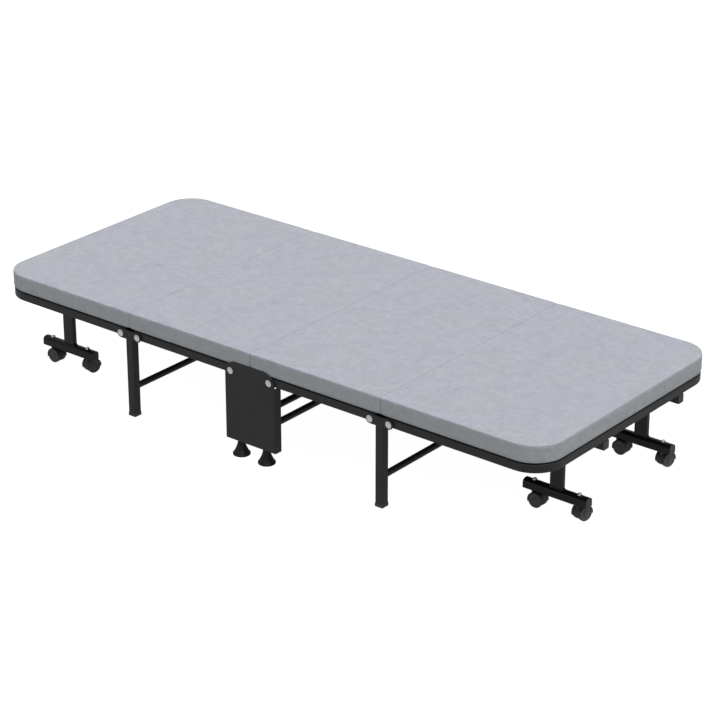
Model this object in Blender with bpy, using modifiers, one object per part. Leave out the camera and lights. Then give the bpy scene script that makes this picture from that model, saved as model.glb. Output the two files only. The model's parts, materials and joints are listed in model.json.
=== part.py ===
"""Folding cot: a four-part padded bed on a tube frame that folds up in an M.

The origin is on the floor under the middle of the bed. X runs along the bed, towards the foot
half, Y across it, away from the near side, and Z up. Each half is an inner section hinged to
the centre stand, a leg frame, and an outer section on two stands with swivelling casters. The
head half is the foot half turned half a turn about Z.
"""

import math

import bmesh
import bpy
from mathutils import Matrix, Vector

# Overall size
LENGTH = 1.900
WIDTH = 0.800
PAD_TOP = 0.315
PAD_BOTTOM = 0.2668
PAD_CORNER = 0.088
GAP = 0.0003

# Bent and straight tubes of the bed sections
RAIL_BOTTOM = 0.2386
RAIL_TOP = 0.2626
RAIL_WIDTH = 0.020
RAIL_INSET = 0.0015
RAIL_END = 0.0145
WALL = 0.0015
TUBE_CORNER = 0.003
CROSS_TUBE = 0.018
CROSS_TUBE_DROP = 0.002
INNER_CROSS_TUBES = (0.115, 0.355)
BOARD_INSET = 0.0095
BOARD_THICKNESS = 0.0036
BOARD_END_GAP = 0.004
DRAIN_RADIUS = 0.003
DRAIN_DEPTH = 0.008
DRAIN_Y = 0.03

# Pivot bolts
BOLT_Z = 0.248
CENTRE_PIVOT = 0.0675
BOLT_RADIUS = 0.004
HOLE_RADIUS = 0.0043
HEAD_RADIUS = 0.010
HEAD_HEIGHT = 0.005
COLLAR_RADIUS = 0.008
NUT_RADIUS = 0.0075
NUT_HEIGHT = 0.0065
THREAD_END = 0.002

# Leg frames
LEG_X = 0.4418
LEG_BOLT = 0.031
LEG_SIZE = 0.025
LEG_FACE = 0.4035
LEG_CAP = 0.004
LEG_CAP_LIP = 0.0006
LEG_BAR_Z = 0.0865
LEG_BAR_RADIUS = 0.0092
EAR_RADIUS = 0.0135
EAR_THICKNESS = 0.0025
EAR_STEP = 0.0002

# Centre stand
STAND_WIDTH = 0.175
STAND_BOTTOM = 0.0435
STAND_TOP = 0.2765
STAND_FACE = 0.4035
STAND_DEPTH = 0.0285
STAND_SHEET = 0.0025
STAND_CORNER = 0.028
STAND_BEND = 0.0022
FLANGE_TOP = 0.235
CENTRE_BAR_X = 0.035
CENTRE_BAR_Z = 0.0965
CENTRE_BAR_RADIUS = 0.0095
CONE_X = 0.045
CONE_Y = 0.389
CONE_BASE = 0.0245
CONE_NECK = 0.010
CONE_SHOULDER = 0.0225
CONE_SHOULDER_Z = 0.006
CONE_RIM_TOP = 0.005
CONE_RIM_CHAMFER = 0.0012
STUD_RADIUS = 0.0037
STUD_TOP = 0.058
STUD_NUT_RADIUS = 0.0065
STUD_NUT_TOP = 0.052
STUD_HOLE = 0.004

# Carrier under an outer section, and the caster stands hung on it
CARRIER_START = 0.662
BEAM_SIZE = 0.025
BEAM_Y = (-0.1135, 0.2415)
POST_X = 0.8185
POST_WIDTH = 0.040
POST_THICKNESS = 0.016
POST_TOP = 0.243
POST_SPACE = 0.0015
STAND_PIVOT_Z = 0.230
CASTER_DROP = 0.001
BAR_LENGTH = 0.200
BAR_WIDTH = 0.028
BAR_BOTTOM = 0.045
BAR_TOP = 0.0725
BAR_CORNER = 0.008
OUTER_FACE = LENGTH / 2 - RAIL_INSET

# Casters
CASTER_REACH = 0.070
CASTER_TRAIL = 0.011
CASTER_TURN = 77.0
WHEEL_RADIUS = 0.021
WHEEL_FACE = 0.0165
WHEEL_INNER = 0.0047
WHEEL_CHAMFER = 0.0025
AXLE_RADIUS = 0.003
HOOD_RADIUS = 0.0232
HOOD_CLEARANCE = 0.0217
HOOD_HALF_WIDTH = 0.0172
WEB_HALF_WIDTH = 0.0037
WEB_RADIUS = 0.0185
WEB_SHIFT = 0.003
HOOD_TILT = 25.0
SOCKET_RADIUS = 0.0085
SOCKET_TOP = 0.0446
STEM_TOP = 0.079
STEM_ROOT = 0.004
STEM_NUT_RADIUS = 0.0068
STEM_NUT_HEIGHT = 0.004

ROUND_SEGMENTS = 16
FOOT_SEGMENTS = 12
BOLT_SEGMENTS = 8
HOLE_SEGMENTS = 12

RAIL_FACE = WIDTH / 2 - RAIL_INSET
LINK = LEG_X - LEG_BOLT - CENTRE_PIVOT
STAND_PIVOT_X = LEG_X + LEG_BOLT + LINK + BOLT_Z - STAND_PIVOT_Z + CASTER_DROP

# Local axes of an outline and its extrusion, for a piece that runs along X, Y or Z
ALONG = {
    "X": Matrix(((0, 0, 1), (1, 0, 0), (0, 1, 0))),
    "Y": Matrix(((1, 0, 0), (0, 0, -1), (0, 1, 0))),
    "Z": Matrix.Identity(3),
}


def clear_scene():
    for obj in list(bpy.data.objects):
        bpy.data.objects.remove(obj)


def new_collection(name):
    made = bpy.data.collections.new(name)
    bpy.context.scene.collection.children.link(made)
    return made


def new_material(name, colour, roughness, metallic):
    made = bpy.data.materials.new(name)
    made.use_nodes = True
    shader = made.node_tree.nodes["Principled BSDF"]
    shader.inputs["Base Color"].default_value = (*colour, 1.0)
    shader.inputs["Roughness"].default_value = roughness
    shader.inputs["Metallic"].default_value = metallic
    return made


clear_scene()
PARTS = new_collection("folding_cot")
HELPERS = new_collection("cutters")
FRAME_BLACK = new_material("frame_black", (0.030, 0.031, 0.032), 0.42, 0.0)
ZINC = new_material("zinc", (0.72, 0.72, 0.70), 0.32, 1.0)
CASTER_BLACK = new_material("caster_black", (0.040, 0.040, 0.042), 0.50, 0.0)
FOOT_BLACK = new_material("foot_black", (0.020, 0.020, 0.021), 0.55, 0.0)
BOARD_BLACK = new_material("board_black", (0.015, 0.015, 0.016), 0.80, 0.0)
FABRIC = new_material("fabric_grey", (0.42, 0.45, 0.49), 0.95, 0.0)


# Shapes


def mesh_object(name, mesh, collection=None):
    made = bpy.data.objects.new(name, mesh)
    (collection or PARTS).objects.link(made)
    return made


def rounded_rectangle(width, height, radius, steps=1):
    """Points round a rectangle with round corners, centred on the origin."""
    points = []
    for quarter in range(4):
        across = 1 if quarter in (0, 3) else -1
        up = 1 if quarter in (0, 1) else -1
        centre = Vector((across * (width / 2 - radius), up * (height / 2 - radius)))
        for step in range(steps + 1):
            angle = (quarter + step / steps) * math.pi / 2
            points.append(centre + radius * Vector((math.cos(angle), math.sin(angle))))
    return points


def outline_curve(name, outlines):
    """A flat curve with one closed spline for each outline."""
    curve = bpy.data.curves.new(name, "CURVE")
    curve.dimensions = "2D"
    for points in outlines:
        spline = curve.splines.new("POLY")
        spline.points.add(len(points) - 1)
        for point, corner in zip(spline.points, points):
            point.co = (corner[0], corner[1], 0.0, 1.0)
        spline.use_cyclic_u = True
    return curve


def mesh_of_curve(name, curve, collection=None):
    """The curve as a mesh object with its caps welded on."""
    source = bpy.data.objects.new(name + "_curve", curve)
    HELPERS.objects.link(source)
    graph = bpy.context.evaluated_depsgraph_get()
    mesh = bpy.data.meshes.new_from_object(source.evaluated_get(graph))
    bpy.data.objects.remove(source)
    work = bmesh.new()
    work.from_mesh(mesh)
    bmesh.ops.remove_doubles(work, verts=work.verts, dist=0.00001)
    work.to_mesh(mesh)
    work.free()
    mesh.name = name
    return mesh_object(name, mesh, collection)


def prism(name, outlines, depth, centre, along="Z", collection=None):
    """A flat outline, with holes for its further outlines, extruded along an axis."""
    curve = outline_curve(name, outlines)
    curve.fill_mode = "BOTH"
    curve.extrude = depth / 2
    made = mesh_of_curve(name, curve, collection)
    made.data.transform(ALONG[along].to_4x4())
    made.location = centre
    return made


def square_tube(name, size, length, centre, along, collection=None, wall=WALL):
    """A straight tube of rectangular section, open at both ends."""
    width, height = size
    outer = rounded_rectangle(width, height, TUBE_CORNER)
    inner = rounded_rectangle(width - 2 * wall, height - 2 * wall, TUBE_CORNER - wall)
    return prism(name, (outer, inner), length, centre, along, collection)


def round_tube(name, radius, length, centre, collection=None, wall=WALL):
    """A straight round tube along Y, open at both ends."""
    rings = []
    for ring in (radius, radius - wall):
        turns = [2 * math.pi * k / ROUND_SEGMENTS for k in range(ROUND_SEGMENTS)]
        rings.append([(ring * math.cos(a), ring * math.sin(a)) for a in turns])
    return prism(name, rings, length, centre, "Y", collection)


def bent_tube(name, points, width, height, wall):
    """A rectangular tube swept along a level line, open at both ends."""
    section = outline_curve(name + "_section", [rounded_rectangle(width, height, TUBE_CORNER)])
    profile = bpy.data.objects.new(name + "_section", section)
    HELPERS.objects.link(profile)
    curve = bpy.data.curves.new(name, "CURVE")
    curve.dimensions = "2D"
    curve.bevel_mode = "OBJECT"
    curve.bevel_object = profile
    spline = curve.splines.new("POLY")
    spline.points.add(len(points) - 1)
    for point, corner in zip(spline.points, points):
        point.co = (corner[0], corner[1], 0.0, 1.0)
    made = mesh_of_curve(name, curve)
    bpy.data.objects.remove(profile)
    shell = made.modifiers.new("wall", "SOLIDIFY")
    shell.thickness = wall
    shell.offset = 1.0
    shell.use_even_offset = True
    return made


def block(name, low, high, collection):
    """A box between two corners."""
    low, high = Vector(low), Vector(high)
    mesh = bpy.data.meshes.new(name)
    work = bmesh.new()
    bmesh.ops.create_cube(work, size=1.0)
    bmesh.ops.scale(work, vec=high - low, verts=work.verts)
    work.to_mesh(mesh)
    work.free()
    made = mesh_object(name, mesh, collection)
    made.location = (low + high) / 2
    return made


def rod(name, radius, length, centre, direction, segments, collection=None):
    """A plain round rod along a direction."""
    mesh = bpy.data.meshes.new(name)
    work = bmesh.new()
    bmesh.ops.create_cone(
        work, cap_ends=True, segments=segments, radius1=radius, radius2=radius, depth=length
    )
    work.to_mesh(mesh)
    work.free()
    made = mesh_object(name, mesh, collection)
    made.data.transform(Vector(direction).to_track_quat("Z", "Y").to_matrix().to_4x4())
    made.location = centre
    return made


def turned(name, profile, base, direction, segments, collection=None):
    """A solid of revolution. The profile lists (radius, height) from its top to its base."""
    mesh = bpy.data.meshes.new(name)
    points = [(radius, 0.0, height) for radius, height in profile]
    edges = [(k, k + 1) for k in range(len(points) - 1)]
    mesh.from_pydata(points, edges, [])
    made = mesh_object(name, mesh, collection)
    screw = made.modifiers.new("turn", "SCREW")
    screw.steps = segments
    screw.render_steps = segments
    screw.use_merge_vertices = True
    screw.merge_threshold = 0.00005
    screw.use_normal_calculate = True
    made.rotation_mode = "QUATERNION"
    made.rotation_quaternion = Vector(direction).to_track_quat("Z", "Y")
    made.location = base
    return made


def hide(obj):
    obj.hide_render = True
    obj.display_type = "WIRE"
    return obj


def boolean(obj, operation, other):
    step = obj.modifiers.new(operation.lower(), "BOOLEAN")
    step.operation = operation
    step.solver = "EXACT"
    step.object = other


def weld_on(obj, *others):
    for other in others:
        boolean(obj, "UNION", hide(other))


def cut(obj, *cutters):
    for cutter in cutters:
        boolean(obj, "DIFFERENCE", hide(cutter))


def finish(obj, material, body):
    """Gives a part its material and its place in the tree of moving bodies."""
    obj.data.materials.clear()
    obj.data.materials.append(material)
    obj.data.shade_smooth()
    obj.data.set_sharp_from_angle(angle=math.radians(40))
    bpy.context.view_layer.update()
    obj.parent = body
    obj.matrix_parent_inverse = body.matrix_world.inverted()
    return obj


def new_body(name, pivot, parent=None):
    """An empty on a moving body's joint axis. The body's parts are its children."""
    made = bpy.data.objects.new(name, None)
    PARTS.objects.link(made)
    made.empty_display_size = 0.03
    made.location = pivot
    if parent:
        bpy.context.view_layer.update()
        made.parent = parent
        made.matrix_parent_inverse = parent.matrix_world.inverted()
    bpy.context.view_layer.update()
    return made


# Parts


def pivot_hole(name, x):
    """A cutter across the whole bed, for the bolt holes on one pivot axis."""
    return rod(
        name, HOLE_RADIUS, WIDTH * 1.2, (x, 0, BOLT_Z), (0, 1, 0), HOLE_SEGMENTS, HELPERS
    )


def bolt(name, seat, direction, grip, collar, body):
    """A round-headed bolt with its nut. The head's seat is on the outermost face, the grip
    runs from there to the nut, and a collar may fill the space between two members."""
    outward = Vector(direction)
    dome = [(0.0, HEAD_HEIGHT)]
    for degrees in (45, 78):
        angle = math.radians(degrees)
        dome.append((HEAD_RADIUS * math.sin(angle), HEAD_HEIGHT * math.cos(angle) + GAP))
    profile = dome + [(HEAD_RADIUS, GAP), (BOLT_RADIUS, GAP)]
    top, bottom = collar
    profile += [
        (BOLT_RADIUS, -top),
        (COLLAR_RADIUS, -top),
        (COLLAR_RADIUS, -bottom),
        (BOLT_RADIUS, -bottom),
    ]
    end = -(grip + NUT_HEIGHT + THREAD_END)
    profile += [(BOLT_RADIUS, end), (0.0, end)]
    made = turned(name, profile, seat, outward, BOLT_SEGMENTS)
    nut = rod(
        name + "_nut",
        NUT_RADIUS,
        NUT_HEIGHT,
        Vector(seat) - outward * (grip + GAP + NUT_HEIGHT / 2),
        outward,
        6,
        HELPERS,
    )
    weld_on(made, nut)
    return finish(made, ZINC, body)


def side_bolt(name, x, side, face, thickness, body):
    """A pivot bolt through an outer plate, a collar and a rail."""
    collar = (thickness + GAP, face - RAIL_FACE - GAP)
    grip = face - RAIL_FACE + RAIL_WIDTH
    seat = (x, side * face, BOLT_Z)
    return bolt(name, seat, (0, side, 0), grip, collar, body)


def centre_plate(name, side, holes, body):
    """A folded sheet channel, open inwards, with a round-cornered face above its flanges."""
    middle = (STAND_BOTTOM + STAND_TOP) / 2
    half, low, high = STAND_WIDTH / 2, STAND_BOTTOM - middle, STAND_TOP - middle
    outline = [(-half, low), (half, low)]
    for start, centre_x in ((0, half - STAND_CORNER), (90, STAND_CORNER - half)):
        for step in range(7):
            angle = math.radians(start + 15 * step)
            across = centre_x + STAND_CORNER * math.cos(angle)
            outline.append((across, high - STAND_CORNER + STAND_CORNER * math.sin(angle)))
    centre_y = side * (STAND_FACE - STAND_DEPTH / 2)
    made = prism(name, [outline], STAND_DEPTH, (0, centre_y, middle), "Y")
    bevel = made.modifiers.new("bends", "BEVEL")
    bevel.width = STAND_BEND
    bevel.segments = 2
    bevel.angle_limit = math.radians(60)
    inside = side * (STAND_FACE - STAND_SHEET)
    beyond = side * (STAND_FACE - 2 * STAND_DEPTH)
    low_y, high_y = min(inside, beyond), max(inside, beyond)
    pocket = block(
        name + "_pocket",
        (STAND_SHEET - half, low_y, STAND_BOTTOM + STAND_SHEET),
        (half - STAND_SHEET, high_y, STAND_TOP + STAND_DEPTH),
        HELPERS,
    )
    above = block(
        name + "_above",
        (-STAND_WIDTH, low_y, FLANGE_TOP),
        (STAND_WIDTH, high_y, STAND_TOP + STAND_DEPTH),
        HELPERS,
    )
    cut(made, pocket, above, *holes)
    for end in (-1, 1):
        place = (end * CONE_X, side * CONE_Y, STAND_BOTTOM)
        stud_hole = rod(
            f"{name}_stud_hole_{end}",
            STUD_HOLE,
            4 * STAND_SHEET,
            place,
            (0, 0, 1),
            HOLE_SEGMENTS,
            HELPERS,
        )
        cut(made, stud_hole)
    return finish(made, FRAME_BLACK, body)


def cone_foot(name, x, y, body):
    """A flared foot on a threaded stud, with its nut above the flange."""
    top = STAND_BOTTOM - GAP
    profile = [(0.0, STUD_TOP), (STUD_RADIUS, STUD_TOP)]
    seat = STAND_BOTTOM + STAND_SHEET + GAP
    profile += [(STUD_RADIUS, STUD_NUT_TOP), (STUD_NUT_RADIUS, STUD_NUT_TOP)]
    profile += [(STUD_NUT_RADIUS, seat), (STUD_RADIUS, seat)]
    profile += [(STUD_RADIUS, top), (CONE_NECK, top)]
    for step in range(1, 5):
        share = step / 4
        radius = CONE_NECK + (CONE_SHOULDER - CONE_NECK) * share**1.6
        profile.append((radius, top - (top - CONE_SHOULDER_Z) * share))
    profile += [(CONE_BASE, CONE_RIM_TOP), (CONE_BASE, CONE_RIM_CHAMFER)]
    profile += [(CONE_BASE - CONE_RIM_CHAMFER, 0.0), (0.0, 0.0)]
    made = turned(name, profile, (x, y, 0), (0, 0, 1), FOOT_SEGMENTS)
    return finish(made, FOOT_BLACK, body)


def centre_stand(body, holes):
    """Both plates, their two crossbars, four cone feet and the four pivot bolts."""
    for side, word in ((-1, "near"), (1, "far")):
        centre_plate("centre_plate_" + word, side, holes, body)
        for end, half in ((-1, "head"), (1, "foot")):
            cone_foot(f"cone_foot_{half}_{word}", end * CONE_X, side * CONE_Y, body)
            side_bolt(
                f"centre_bolt_{half}_{word}",
                end * CENTRE_PIVOT,
                side,
                STAND_FACE,
                STAND_SHEET,
                body,
            )
    length = 2 * (STAND_FACE - STAND_SHEET - GAP)
    for end, half in ((-1, "head"), (1, "foot")):
        place = (end * CENTRE_BAR_X, 0, CENTRE_BAR_Z)
        bar = round_tube("centre_crossbar_" + half, CENTRE_BAR_RADIUS, length, place)
        finish(bar, FRAME_BLACK, body)


def drain_hole(name, x, z):
    """A cutter for the hole in the underside of a tube whose ends are welded shut."""
    place = (x, DRAIN_Y, z)
    return rod(name, DRAIN_RADIUS, DRAIN_DEPTH, place, (0, 0, 1), BOLT_SEGMENTS, HELPERS)


def flat_slab(name, span_x, half_width, span_z, radius, material, body):
    """A level slab. Its outer end, the second of span_x, may have round corners."""
    start, end = span_x
    sign = 1 if end > start else -1
    middle_x = (start + end) / 2
    reach = abs(end - start) / 2
    outline = [(-sign * reach, -half_width)]
    for corner in (-1, 1):
        if not radius:
            outline.append((sign * reach, corner * half_width))
            continue
        for step in range(9):
            angle = math.radians(corner * 45 - 45 + 11.25 * step)
            across = sign * (reach - radius + radius * math.cos(angle))
            along_y = corner * (half_width - radius) + radius * math.sin(angle)
            outline.append((across, along_y))
    outline.append((-sign * reach, half_width))
    low, high = span_z
    made = prism(name, [outline], high - low, (middle_x, 0, (low + high) / 2))
    return finish(made, material, body)


def inner_section(half, sign, body, holes):
    """The ladder frame, board and pad between the centre stand and a leg frame."""
    start, end = CENTRE_PIVOT - RAIL_END, LEG_X - LEG_BOLT + RAIL_END
    middle_x, middle_z = sign * (start + end) / 2, (RAIL_BOTTOM + RAIL_TOP) / 2
    size = (RAIL_WIDTH, RAIL_TOP - RAIL_BOTTOM)
    rail_y = RAIL_FACE - RAIL_WIDTH / 2
    near = (middle_x, -rail_y, middle_z)
    far = (middle_x, rail_y, middle_z)
    frame = square_tube(half + "_inner_frame", size, end - start, near, "X")
    weld_on(frame, square_tube(half + "_far_rail", size, end - start, far, "X", HELPERS))
    span = 2 * (RAIL_FACE - RAIL_WIDTH + WALL / 2)
    cross_z = RAIL_BOTTOM + CROSS_TUBE_DROP + CROSS_TUBE / 2
    for number, x in enumerate(INNER_CROSS_TUBES):
        place = (sign * x, 0, cross_z)
        tube_name = f"{half}_cross_tube_{number}"
        square = (CROSS_TUBE, CROSS_TUBE)
        weld_on(frame, square_tube(tube_name, square, span, place, "Y", HELPERS))
        low = cross_z - CROSS_TUBE / 2
        cut(frame, drain_hole(f"{half}_drain_{number}", sign * x, low))
    cut(frame, *holes)
    finish(frame, FRAME_BLACK, body)
    flat_slab(
        half + "_inner_board",
        (sign * BOARD_END_GAP, sign * (LEG_X - BOARD_END_GAP)),
        RAIL_FACE - BOARD_INSET,
        (RAIL_TOP + GAP, RAIL_TOP + GAP + BOARD_THICKNESS),
        0.0,
        BOARD_BLACK,
        body,
    )
    flat_slab(
        half + "_inner_pad",
        (sign * GAP, sign * (LEG_X - GAP)),
        WIDTH / 2,
        (PAD_BOTTOM, PAD_TOP),
        0.0,
        FABRIC,
        body,
    )


def leg_frame(half, sign, body, holes):
    """Two square legs with closed feet, their eared brackets and the crossbar between them."""
    x = sign * LEG_X
    leg_y = LEG_FACE - LEG_SIZE / 2
    top = BOLT_Z + EAR_RADIUS
    size = (LEG_SIZE, LEG_SIZE)
    middle_z = (top + LEG_CAP / 2) / 2
    length = top - LEG_CAP / 2
    frame = square_tube(half + "_leg_frame", size, length, (x, -leg_y, middle_z), "Z")
    far_leg = square_tube(half + "_far_leg", size, length, (x, leg_y, middle_z), "Z", HELPERS)
    weld_on(frame, far_leg)
    reach = LEG_SIZE / 2 + LEG_CAP_LIP
    for side, word in ((-1, "near"), (1, "far")):
        cap = block(
            f"{half}_{word}_cap",
            (x - reach, side * leg_y - reach, 0),
            (x + reach, side * leg_y + reach, LEG_CAP),
            HELPERS,
        )
        ears = rounded_rectangle(2 * (LEG_BOLT + EAR_RADIUS), 2 * EAR_RADIUS, EAR_RADIUS, 6)
        plate_y = side * (LEG_FACE + EAR_STEP - EAR_THICKNESS / 2)
        plate = prism(
            f"{half}_{word}_ears", [ears], EAR_THICKNESS, (x, plate_y, BOLT_Z), "Y", HELPERS
        )
        weld_on(frame, cap, plate)
    span = 2 * (LEG_FACE - LEG_SIZE + WALL / 2)
    bar = round_tube(half + "_leg_bar", LEG_BAR_RADIUS, span, (x, 0, LEG_BAR_Z), HELPERS)
    weld_on(frame, bar)
    cut(frame, drain_hole(half + "_leg_drain", x, LEG_BAR_Z - LEG_BAR_RADIUS), *holes)
    finish(frame, FRAME_BLACK, body)
    face, thickness = LEG_FACE + EAR_STEP, EAR_THICKNESS
    for side, word in ((-1, "near"), (1, "far")):
        for reach, where in ((-LEG_BOLT, "inner"), (LEG_BOLT, "outer")):
            bolt_name = f"{half}_leg_bolt_{where}_{word}"
            side_bolt(bolt_name, sign * (LEG_X + reach), side, face, thickness, body)


def end_rail(name, sign, holes, body):
    """The bent rail round an outer section: two arms and the end, with round corners."""
    line_y = RAIL_FACE - RAIL_WIDTH / 2
    line_x = OUTER_FACE - RAIL_WIDTH / 2
    radius = PAD_CORNER - RAIL_INSET - RAIL_WIDTH / 2
    start = LEG_X + LEG_BOLT - RAIL_END
    points = [(sign * start, -line_y)]
    for corner in (-1, 1):
        for step in range(9):
            angle = math.radians(corner * 45 - 45 + 11.25 * step)
            across = sign * (line_x - radius + radius * math.cos(angle))
            points.append((across, corner * (line_y - radius) + radius * math.sin(angle)))
    points.append((sign * start, line_y))
    made = bent_tube(name, points, RAIL_WIDTH, RAIL_TOP - RAIL_BOTTOM, WALL)
    made.location = (0, 0, (RAIL_BOTTOM + RAIL_TOP) / 2)
    cut(made, *holes)
    return finish(made, FRAME_BLACK, body)


def carrier(name, sign, body):
    """A cross tube with two lengthwise beams under it, drilled for the stands' bolts."""
    top = RAIL_BOTTOM - GAP
    span = 2 * (RAIL_FACE - RAIL_WIDTH - GAP)
    cross_x = CARRIER_START + CROSS_TUBE / 2
    cross_z = top - WALL / 2 + CROSS_TUBE / 2
    square = (CROSS_TUBE, CROSS_TUBE)
    made = square_tube(name, square, span, (sign * cross_x, 0, cross_z), "Y")
    length = OUTER_FACE - CARRIER_START
    middle_x = sign * (CARRIER_START + OUTER_FACE) / 2
    for number, y in enumerate(BEAM_Y):
        place = (middle_x, sign * y, top - BEAM_SIZE / 2)
        beam_name = f"{name}_beam_{number}"
        size = (BEAM_SIZE, BEAM_SIZE)
        weld_on(made, square_tube(beam_name, size, length, place, "X", HELPERS))
    pivot = (sign * STAND_PIVOT_X, 0, STAND_PIVOT_Z)
    hole = rod(name + "_hole", HOLE_RADIUS, WIDTH, pivot, (0, 1, 0), HOLE_SEGMENTS, HELPERS)
    cut(made, hole)
    return finish(made, FRAME_BLACK, body)


def outer_section(half, sign, body, holes):
    """The bent rail, carrier, board and pad between a leg frame and the end of the bed."""
    end_rail(half + "_end_rail", sign, holes, body)
    carrier(half + "_carrier", sign, body)
    flat_slab(
        half + "_outer_board",
        (sign * (LEG_X + BOARD_END_GAP), sign * (OUTER_FACE - BOARD_INSET)),
        RAIL_FACE - BOARD_INSET,
        (RAIL_TOP + GAP, RAIL_TOP + GAP + BOARD_THICKNESS),
        PAD_CORNER - RAIL_INSET - BOARD_INSET,
        BOARD_BLACK,
        body,
    )
    flat_slab(
        half + "_outer_pad",
        (sign * (LEG_X + GAP), sign * LENGTH / 2),
        WIDTH / 2,
        (PAD_BOTTOM, PAD_TOP),
        PAD_CORNER,
        FABRIC,
        body,
    )


def caster_stand(name, x, y, pivot_x, outward, body):
    """An upright post on a bar with a stem hole near each end, hung from a carrier beam."""
    middle = (BAR_BOTTOM + BAR_TOP) / 2
    height = BAR_TOP - BAR_BOTTOM
    outer = rounded_rectangle(BAR_WIDTH, height, BAR_CORNER, 3)
    inner = rounded_rectangle(BAR_WIDTH - 2 * WALL, height - 2 * WALL, BAR_CORNER - WALL, 3)
    made = prism(name, (outer, inner), BAR_LENGTH, (x, y, middle), "X")
    base = BAR_TOP - WALL / 2
    post_name = name + "_post"
    size = (POST_WIDTH, POST_THICKNESS)
    place = (x, y, (base + POST_TOP) / 2)
    weld_on(made, square_tube(post_name, size, POST_TOP - base, place, "Z", HELPERS))
    pivot = (pivot_x, y, STAND_PIVOT_Z)
    hole = rod(
        name + "_hole", HOLE_RADIUS, BAR_WIDTH, pivot, (0, 1, 0), HOLE_SEGMENTS, HELPERS
    )
    cut(made, hole)
    for end in (-1, 1):
        place = (x + end * CASTER_REACH, y, middle)
        stem_name = f"{name}_stem_hole_{end}"
        stem_hole = rod(
            stem_name, HOLE_RADIUS, 2 * height, place, (0, 0, 1), HOLE_SEGMENTS, HELPERS
        )
        cut(made, stem_hole)
    finish(made, FRAME_BLACK, body)
    seat = (pivot_x, y + outward * POST_THICKNESS / 2, STAND_PIVOT_Z)
    grip = POST_THICKNESS + POST_SPACE + BEAM_SIZE
    collar = (POST_THICKNESS + GAP, POST_THICKNESS + POST_SPACE - GAP)
    bolt(name + "_bolt", seat, (0, outward, 0), grip, collar, body)


def caster_housing(name, x, y, turn, body):
    """A hood over the wheels with a web between them, a swivel socket and a threaded stem."""
    away = Vector((math.cos(turn), math.sin(turn), 0))
    across = Vector((-math.sin(turn), math.cos(turn), 0))
    centre = Vector((x, y, WHEEL_RADIUS)) + away * CASTER_TRAIL
    width = 2 * HOOD_HALF_WIDTH
    made = rod(name, HOOD_RADIUS, width, centre, across, ROUND_SEGMENTS)
    socket_low = WHEEL_RADIUS
    socket = rod(
        name + "_socket",
        SOCKET_RADIUS,
        SOCKET_TOP - socket_low,
        (x, y, (socket_low + SOCKET_TOP) / 2),
        (0, 0, 1),
        ROUND_SEGMENTS,
        HELPERS,
    )
    weld_on(made, socket)
    clear = rod(
        name + "_clear", HOOD_CLEARANCE, 2 * width, centre, across, ROUND_SEGMENTS, HELPERS
    )
    reach = 2 * HOOD_RADIUS
    below = block(name + "_below", (-reach, -reach, -2 * reach), (reach, reach, 0), HELPERS)
    tilt = Matrix.Rotation(turn, 4, "Z") @ Matrix.Rotation(math.radians(HOOD_TILT), 4, "Y")
    below.matrix_world = Matrix.Translation(centre) @ tilt @ Matrix.Translation((0, 0, -reach))
    cut(made, clear, below)
    thickness = 2 * WEB_HALF_WIDTH
    web_centre = centre - away * WEB_SHIFT + Vector((0, 0, WEB_SHIFT))
    web = rod(
        name + "_web", WEB_RADIUS, thickness, web_centre, across, ROUND_SEGMENTS, HELPERS
    )
    stem_top = STEM_TOP - SOCKET_TOP
    profile = [(0.0, stem_top), (BOLT_RADIUS, stem_top)]
    nut_low = BAR_TOP + GAP - SOCKET_TOP
    nut_top = nut_low + STEM_NUT_HEIGHT
    profile += [
        (BOLT_RADIUS, nut_top),
        (STEM_NUT_RADIUS, nut_top),
        (STEM_NUT_RADIUS, nut_low),
        (BOLT_RADIUS, nut_low),
        (BOLT_RADIUS, -STEM_ROOT),
        (0.0, -STEM_ROOT),
    ]
    stem = turned(
        name + "_stem", profile, (x, y, SOCKET_TOP), (0, 0, 1), BOLT_SEGMENTS, HELPERS
    )
    weld_on(made, web, stem)
    axle_hole = rod(
        name + "_axle_hole",
        AXLE_RADIUS + GAP,
        2 * thickness,
        centre,
        across,
        HOLE_SEGMENTS,
        HELPERS,
    )
    cut(made, axle_hole)
    return finish(made, CASTER_BLACK, body)


def caster_wheels(name, centre, across, body):
    """Two wheels on one axle."""
    disc = [
        (WHEEL_RADIUS - WHEEL_CHAMFER, WHEEL_FACE),
        (WHEEL_RADIUS, WHEEL_FACE - WHEEL_CHAMFER),
        (WHEEL_RADIUS, WHEEL_INNER),
        (AXLE_RADIUS, WHEEL_INNER),
    ]
    profile = [(0.0, WHEEL_FACE)] + disc
    profile += [(radius, -height) for radius, height in reversed(disc)]
    profile.append((0.0, -WHEEL_FACE))
    made = turned(name, profile, centre, across, ROUND_SEGMENTS)
    return finish(made, CASTER_BLACK, body)


def stand_with_casters(half, word, sign, y, outward, parent):
    """One caster stand with its bolt and both casters, each on its own swivel."""
    label = f"{half}_{word}"
    x, pivot_x = sign * POST_X, sign * STAND_PIVOT_X
    body = new_body(f"body_{label}_stand", (pivot_x, y, STAND_PIVOT_Z), parent)
    caster_stand(label + "_stand", x, y, pivot_x, outward, body)
    for end in (-1, 1):
        where = "outer" if end == sign else "inner"
        turn = math.radians(0.0 if end < 0 else CASTER_TURN)
        caster = f"{label}_caster_{where}"
        stem_x = x + end * CASTER_REACH
        swivel = new_body("body_" + caster, (stem_x, y, SOCKET_TOP), body)
        caster_housing(caster + "_housing", stem_x, y, turn, swivel)
        away = Vector((math.cos(turn), math.sin(turn), 0))
        centre = Vector((stem_x, y, WHEEL_RADIUS)) + away * CASTER_TRAIL
        axle = new_body(f"body_{caster}_wheels", centre, swivel)
        across = Vector((-math.sin(turn), math.cos(turn), 0))
        caster_wheels(caster + "_wheels", centre, across, axle)


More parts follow.
